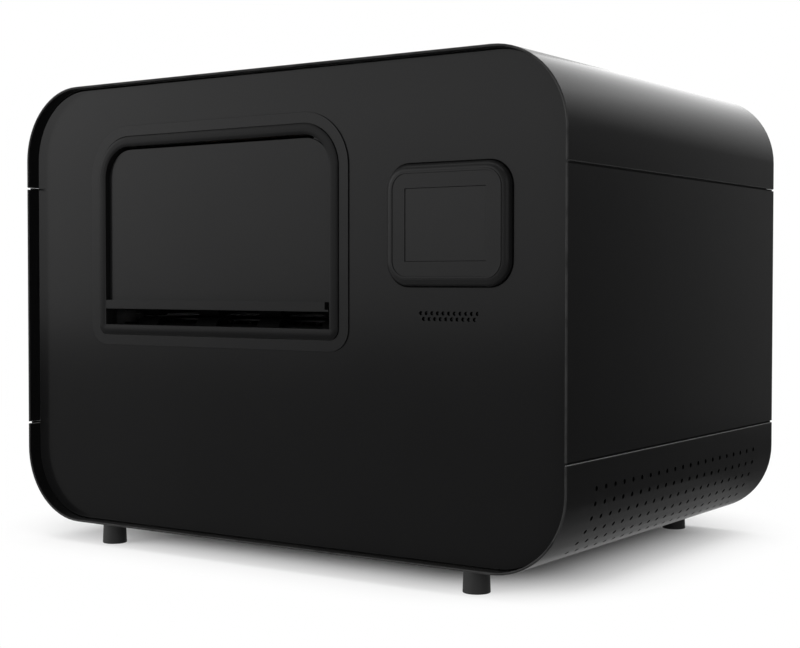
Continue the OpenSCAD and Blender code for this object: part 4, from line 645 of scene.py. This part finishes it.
rim = housing_outline(low.y)
face = rim.faces[:][0]
bmesh.ops.inset_individual(rim, faces=[face], thickness=RIM_W, use_even_offset=True)
bmesh.ops.delete(rim, geom=[face], context="FACES")
thicken(rim, RIM_H, low.y)
crest = [edge for edge in rim.edges if max(vert.co.y for vert in edge.verts) < low.y - RIM_H / 2
         and edge.calc_face_angle(0.0) > SHARP]
bmesh.ops.bevel(rim, geom=crest, offset=RIM_ROUND, affect="EDGES", segments=2, profile=0.5, material=-1)
shape_piece("display_rim", rim, "display_housing", "display_plastic")
# A black ring, painted shadow, shows round the housing where it meets the front.
shadow_ring = housing_outline(high.y)
bmesh.ops.scale(shadow_ring, vec=(1 + SHADOW_RING_OUT / half.x, 1, 1 + SHADOW_RING_OUT / half.z), verts=shadow_ring.verts,
                space=Matrix.Translation(-middle))
thicken(shadow_ring, SHADOW_RING_T, high.y)
shape_piece("display_shadow_ring", shadow_ring, "rubber_feet", "painted_shade_black")

# %% [markdown]
# ## Finishes for the rest
# Nodes whose shape is right as it comes keep their mesh and get the finish of their slot. The rollers behind
# the paper slot and the frame behind the front's lower gap are painted near black as shade, the rollers in a
# near-black rubber and the frame in blackened steel, so that both stay dark.

# %% Dress the other nodes
# Painted shade: near-black finishes for parts deep in the paper slot and behind the lower gap.
OWN_FINISH = {"exit_rollers": "shade_black_rubber", "pinch_roller": "shade_black_rubber",
              "frame_angles": "black_steel"}
for name, node in nodes.items():
    if name + "_softened" not in bpy.data.objects:
        node.data.materials.clear()
        node.data.materials.append(FINISHES[OWN_FINISH.get(name, SLOT_OF[name])])
        print(name, "wears", node.data.materials[0].name)

# %% [markdown]
# ## The studio
# The floor is a pale sheet that takes the machine's shadow close to it and fades to plain white further out,
# where only the eye and mirrors see it. The distance is taken from a rectangle under the machine, not from a
# point, so the shadow keeps an even width. A white wall behind the machine throws light back on it. The
# camera looks through the wall, so it hides nothing from a camera that stands behind it.

# %% Lay the floor and the wall
FLOOR_R, FLOOR_SIDES, FLOOR_TONE = 26.0, 96, 0.9
SHADOW_MIDDLE, SHADOW_HALF = (-0.055, 0.055, 0.0), (0.21, 0.135, 0.0)
SHADOW_NEAR, SHADOW_FAR = 0.05, 0.25
WALL_W, WALL_H, WALL_AWAY, WALL_TONE = 5.0, 3.4, 3.2, 0.8
PAPER_ROUGH = 0.9


def distance_outside(tree, middle, half):
    place = add(tree, "TexCoord").outputs["Object"]
    outside = add(tree, "VectorMath", {0: place, 1: middle}, operation="SUBTRACT").outputs[0]
    outside = add(tree, "VectorMath", {0: outside}, operation="ABSOLUTE").outputs[0]
    outside = add(tree, "VectorMath", {0: outside, 1: half}, operation="SUBTRACT").outputs[0]
    outside = add(tree, "VectorMath", {0: outside, 1: (0.0, 0.0, 0.0)}, operation="MAXIMUM").outputs[0]
    return add(tree, "VectorMath", {0: outside}, operation="LENGTH").outputs["Value"]


def eye_and_mirrors(tree):
    rays = add(tree, "LightPath").outputs
    seen = rays["Is Camera Ray"]
    for kind in ("Is Glossy Ray", "Is Transmission Ray"):
        seen = combine(tree, seen, rays[kind], "MAXIMUM")
    return seen


def stage_material(name, tone, least):
    material = bpy.data.materials.new(name)
    material.use_nodes = True
    tree = material.node_tree
    shader = tree.nodes["Principled BSDF"]
    shader.inputs["Base Color"].default_value = (tone, tone, tone, 1.0)
    shader.inputs["Roughness"].default_value = PAPER_ROUGH
    shader.inputs["Specular IOR Level"].default_value = 0.0
    reach = distance_outside(tree, SHADOW_MIDDLE, SHADOW_HALF)
    fade = add(tree, "MapRange", {"Value": reach, "From Min": SHADOW_NEAR, "From Max": SHADOW_FAR,
                                  "To Min": least}, interpolation_type="SMOOTHSTEP").outputs[0]
    share = combine(tree, fade, eye_and_mirrors(tree))
    white = add(tree, "Emission", {"Color": (1, 1, 1, 1), "Strength": 1.0})
    blend = add(tree, "MixShader", {0: share, 1: shader.outputs[0], 2: white.outputs[0]})
    tree.links.new(blend.outputs[0], tree.nodes["Material Output"].inputs["Surface"])
    return material


def stage_piece(name, bm, material):
    mesh = bpy.data.meshes.new(name)
    bm.to_mesh(mesh)
    bm.free()
    mesh.materials.append(material)
    piece = bpy.data.objects.new(name, mesh)
    scene.collection.objects.link(piece)
    return piece


def sheet(width, height, middle, facing=None):
    bm = bmesh.new()
    bmesh.ops.create_grid(bm, x_segments=1, y_segments=1, size=0.5)
    bmesh.ops.scale(bm, vec=(width, height, 1.0), verts=bm.verts)
    if facing is not None:
        turn = Matrix.Rotation(math.atan2(-facing[0], facing[1]), 3, "Z")
        bmesh.ops.rotate(bm, matrix=turn @ Matrix.Rotation(math.pi / 2, 3, "X"), verts=bm.verts)
    bmesh.ops.translate(bm, vec=middle, verts=bm.verts)
    return bm


floor = bmesh.new()
bmesh.ops.create_circle(floor, cap_ends=True, radius=FLOOR_R, segments=FLOOR_SIDES)
stage_piece("studio_floor", floor, stage_material("floor_paper", FLOOR_TONE, least=0.0))
look = CAMERA_LOOK.xy.normalized()
wall = sheet(WALL_W, WALL_H, (*(look * WALL_AWAY), WALL_H / 2), look)
stage_piece("studio_wall", wall, stage_material("wall_paper", WALL_TONE, least=1.0)).visible_camera = False
print("floor radius", FLOOR_R, "m, wall", WALL_AWAY, "m behind the machine")

# %% [markdown]
# ## Cards for the side and the bend
# A glossy dark side mirrors whatever stands beyond it. Photographers put up cards, just out of the picture,
# so that the side reads as a calm dark plane. One stands at the back right and grows lighter upwards and
# towards the machine's far end; another is laid on the floor and runs from a light to a dark grey away from
# the machine. A third, bright one hangs behind the machine, graded on a slant, and draws the soft shine along
# the cover's bend. Only the machine's gloss sees them, and only from their front.

# %% Put up the cards
LAID_LIGHT, LAID_DARK, LAID_FADE = 0.41, 0.17, 0.14
LAID_SIZE, LAID_MIDDLE = (1.86, 2.3), (1.20, 0.85, 0.004)
CASING_HALF, ANY_HEIGHT = (0.35, 0.25), 9.0
SIDE_W, SIDE_H, SIDE_FOOT = 2.6, 0.62, 0.004
SIDE_MIDDLE, SIDE_FACING = (1.2, 1.2), (0.55, 0.83)
SIDE_X_NEAR, SIDE_X_FAR = 1.12, 0.82
SIDE_NEAR, SIDE_FAR, SIDE_RISE = 0.164, 0.275, 1.65
BEND_SIZE, BEND_MIDDLE, BEND_FACING = (1.25, 0.75), (0.425, 1.0, 0.895), (0.0, 1.0)
BEND_SLANT, BEND_FROM, BEND_TO = 0.68, 0.03, 0.70
BEND_DARK, BEND_BRIGHT = 0.37, 2.28


def card_paint(name):
    material = bpy.data.materials.new(name)
    material.use_nodes = True
    tree = material.node_tree
    tree.nodes.remove(tree.nodes["Principled BSDF"])
    glow = add(tree, "Emission")
    clear = add(tree, "BsdfTransparent")
    back = add(tree, "NewGeometry").outputs["Backfacing"]
    one_sided = add(tree, "MixShader", {0: back, 1: glow.outputs[0], 2: clear.outputs[0]})
    tree.links.new(one_sided.outputs[0], tree.nodes["Material Output"].inputs["Surface"])
    return material, tree, glow.inputs["Strength"]


def ramp(tree, value, start, end, low, high):
    return add(tree, "MapRange", {"Value": value, "From Min": start, "From Max": end,
                                  "To Min": low, "To Max": high}).outputs[0]


def split_place(tree):
    return add(tree, "SeparateXYZ", {0: add(tree, "TexCoord").outputs["Object"]}).outputs


laid_grey, tree, strength = card_paint("laid_grey")
reach = distance_outside(tree, (0.0, 0.0, 0.0), (*CASING_HALF, ANY_HEIGHT))
tree.links.new(ramp(tree, reach, 0.0, LAID_FADE, LAID_LIGHT, LAID_DARK), strength)

side_grey, tree, strength = card_paint("side_grey")
place = split_place(tree)
along = ramp(tree, place["X"], SIDE_X_NEAR, SIDE_X_FAR, SIDE_NEAR, SIDE_FAR)
rise = ramp(tree, place["Z"], 0.0, SIDE_H, 1.0, SIDE_RISE)
tree.links.new(combine(tree, along, rise), strength)

bend_grey, tree, strength = card_paint("bend_grey")
place = split_place(tree)
slant = add(tree, "Math", {0: place["X"], 1: -BEND_SLANT, 2: place["Z"]}, operation="MULTIPLY_ADD").outputs[0]
tree.links.new(ramp(tree, slant, BEND_FROM, BEND_TO, BEND_DARK, BEND_BRIGHT), strength)

standing = sheet(SIDE_W, SIDE_H, (*SIDE_MIDDLE, SIDE_FOOT + SIDE_H / 2), SIDE_FACING)
laid = sheet(*LAID_SIZE, LAID_MIDDLE)
hung = sheet(*BEND_SIZE, BEND_MIDDLE, BEND_FACING)
for name, bm, paint in (("side_card", standing, side_grey), ("laid_card", laid, laid_grey),
                        ("bend_card", hung, bend_grey)):
    card = stage_piece(name, bm, paint)
    card.visible_camera = False
    card.visible_diffuse = False
    card.visible_shadow = False
    card.visible_transmission = False
    print(name, [round(v, 2) for v in card.dimensions])

# %% [markdown]
# ## The lamps
# A broad lamp overhead lights the floor and gives the soft shadow. At the front left three soft boxes stand
# above each other, the upper ones stronger: they mirror in the front, which grows lighter towards its top and
# turns dark where the lowest box ends. The casing's projecting ends would shade the front from them, so light
# linking takes the tray, the left side and the cover out of what blocks these boxes. Two lamps behind lift
# the rear, unseen by the gloss, and two at the front right draw the edges that face the camera.

# %% Hang the lamps
# name, place, aim, width, height, radiance
LAMPS = (
    ("overhead_lamp", (0.0, 0.1, 2.6), (0.0, 0.1, 0.0), 3.0, 3.0, 2.5),
    ("rim_high", (1.0, 3.4, 2.2), (0.2, 0.2, 0.45), 2.0, 1.1, 1.6),
    ("rim_low", (1.0, 3.3, 1.5), (0.2, 0.2, 0.45), 2.0, 1.2, 0.7),
    ("edge_strip", (0.35, -3.0, 0.6), (0.35, -0.2, 0.6), 0.25, 1.6, 5.0),
    ("right_fill", (2.4, -1.9, 0.9), (0.3, -0.2, 0.4), 1.6, 1.6, 2.0),
)
FRONT_PLACE, FRONT_AIM, FRONT_W = (-2.1, -2.5), (0.0, -0.1), 3.6
# name, foot, head, radiance
FRONT_BOXES = (
    ("front_low", 0.15, 0.42, 3.0),
    ("front_mid", 0.42, 0.72, 3.6),
    ("front_high", 0.72, 2.0, 4.6),
)
NOT_BLOCKING = ("bottom_tray", "left_side_panel", "top_cover")


def soft_box(name, place, aim, width, height, radiance):
    data = bpy.data.lights.new(name, "AREA")
    data.shape = "RECTANGLE"
    data.size, data.size_y = width, height
    data.energy = radiance * math.pi * width * height
    lamp = bpy.data.objects.new(name, data)
    scene.collection.objects.link(lamp)
    lamp.matrix_world = (Matrix.Translation(place)
                         @ (Vector(place) - Vector(aim)).to_track_quat("Z", "Y").to_matrix().to_4x4())
    lamp.visible_camera = False
    return lamp


rims = bpy.data.collections.new("front_rims")
for node in NOT_BLOCKING:
    rims.objects.link(bpy.data.objects[node + "_softened"])
for linked in rims.collection_objects:
    linked.light_linking.link_state = "EXCLUDE"
for name, low, high, radiance in FRONT_BOXES:
    middle = (low + high) / 2
    lamp = soft_box(name, (*FRONT_PLACE, middle), (*FRONT_AIM, middle), FRONT_W, high - low, radiance)
    lamp.light_linking.blocker_collection = rims
for name, *setting in LAMPS:
    lamp = soft_box(name, *setting)
    lamp.visible_glossy = not name.startswith("rim")
print(len(FRONT_BOXES) + len(LAMPS), "lamps")

# %% [markdown]
# ## The world
# Beyond the floor's edge a low camera looks into the world. It lights the machine as a plain grey room, but
# the eye, gloss and glass find it as white as the floor, so that no horizon shows. Light Path tells the kinds
# of ray apart, as it does for the floor.

# %% Paint the world
ROOM_GREY = 0.3

world = bpy.data.worlds.new("studio_world")
world.use_nodes = True
sky = world.node_tree
strength = ramp(sky, eye_and_mirrors(sky), 0.0, 1.0, ROOM_GREY, 1.0)
sky.links.new(strength, sky.nodes["Background"].inputs["Strength"])
sky.nodes["Background"].inputs["Color"].default_value = (1.0, 1.0, 1.0, 1.0)
scene.world = world
scene.view_settings.view_transform = "Standard"
print("world grey", ROOM_GREY)

# %% [markdown]
# ## Last update
# The view layer is brought up to date once more. The finished machine may not outgrow the
# imported model.

# %% Update and finish
bpy.context.view_layer.update()
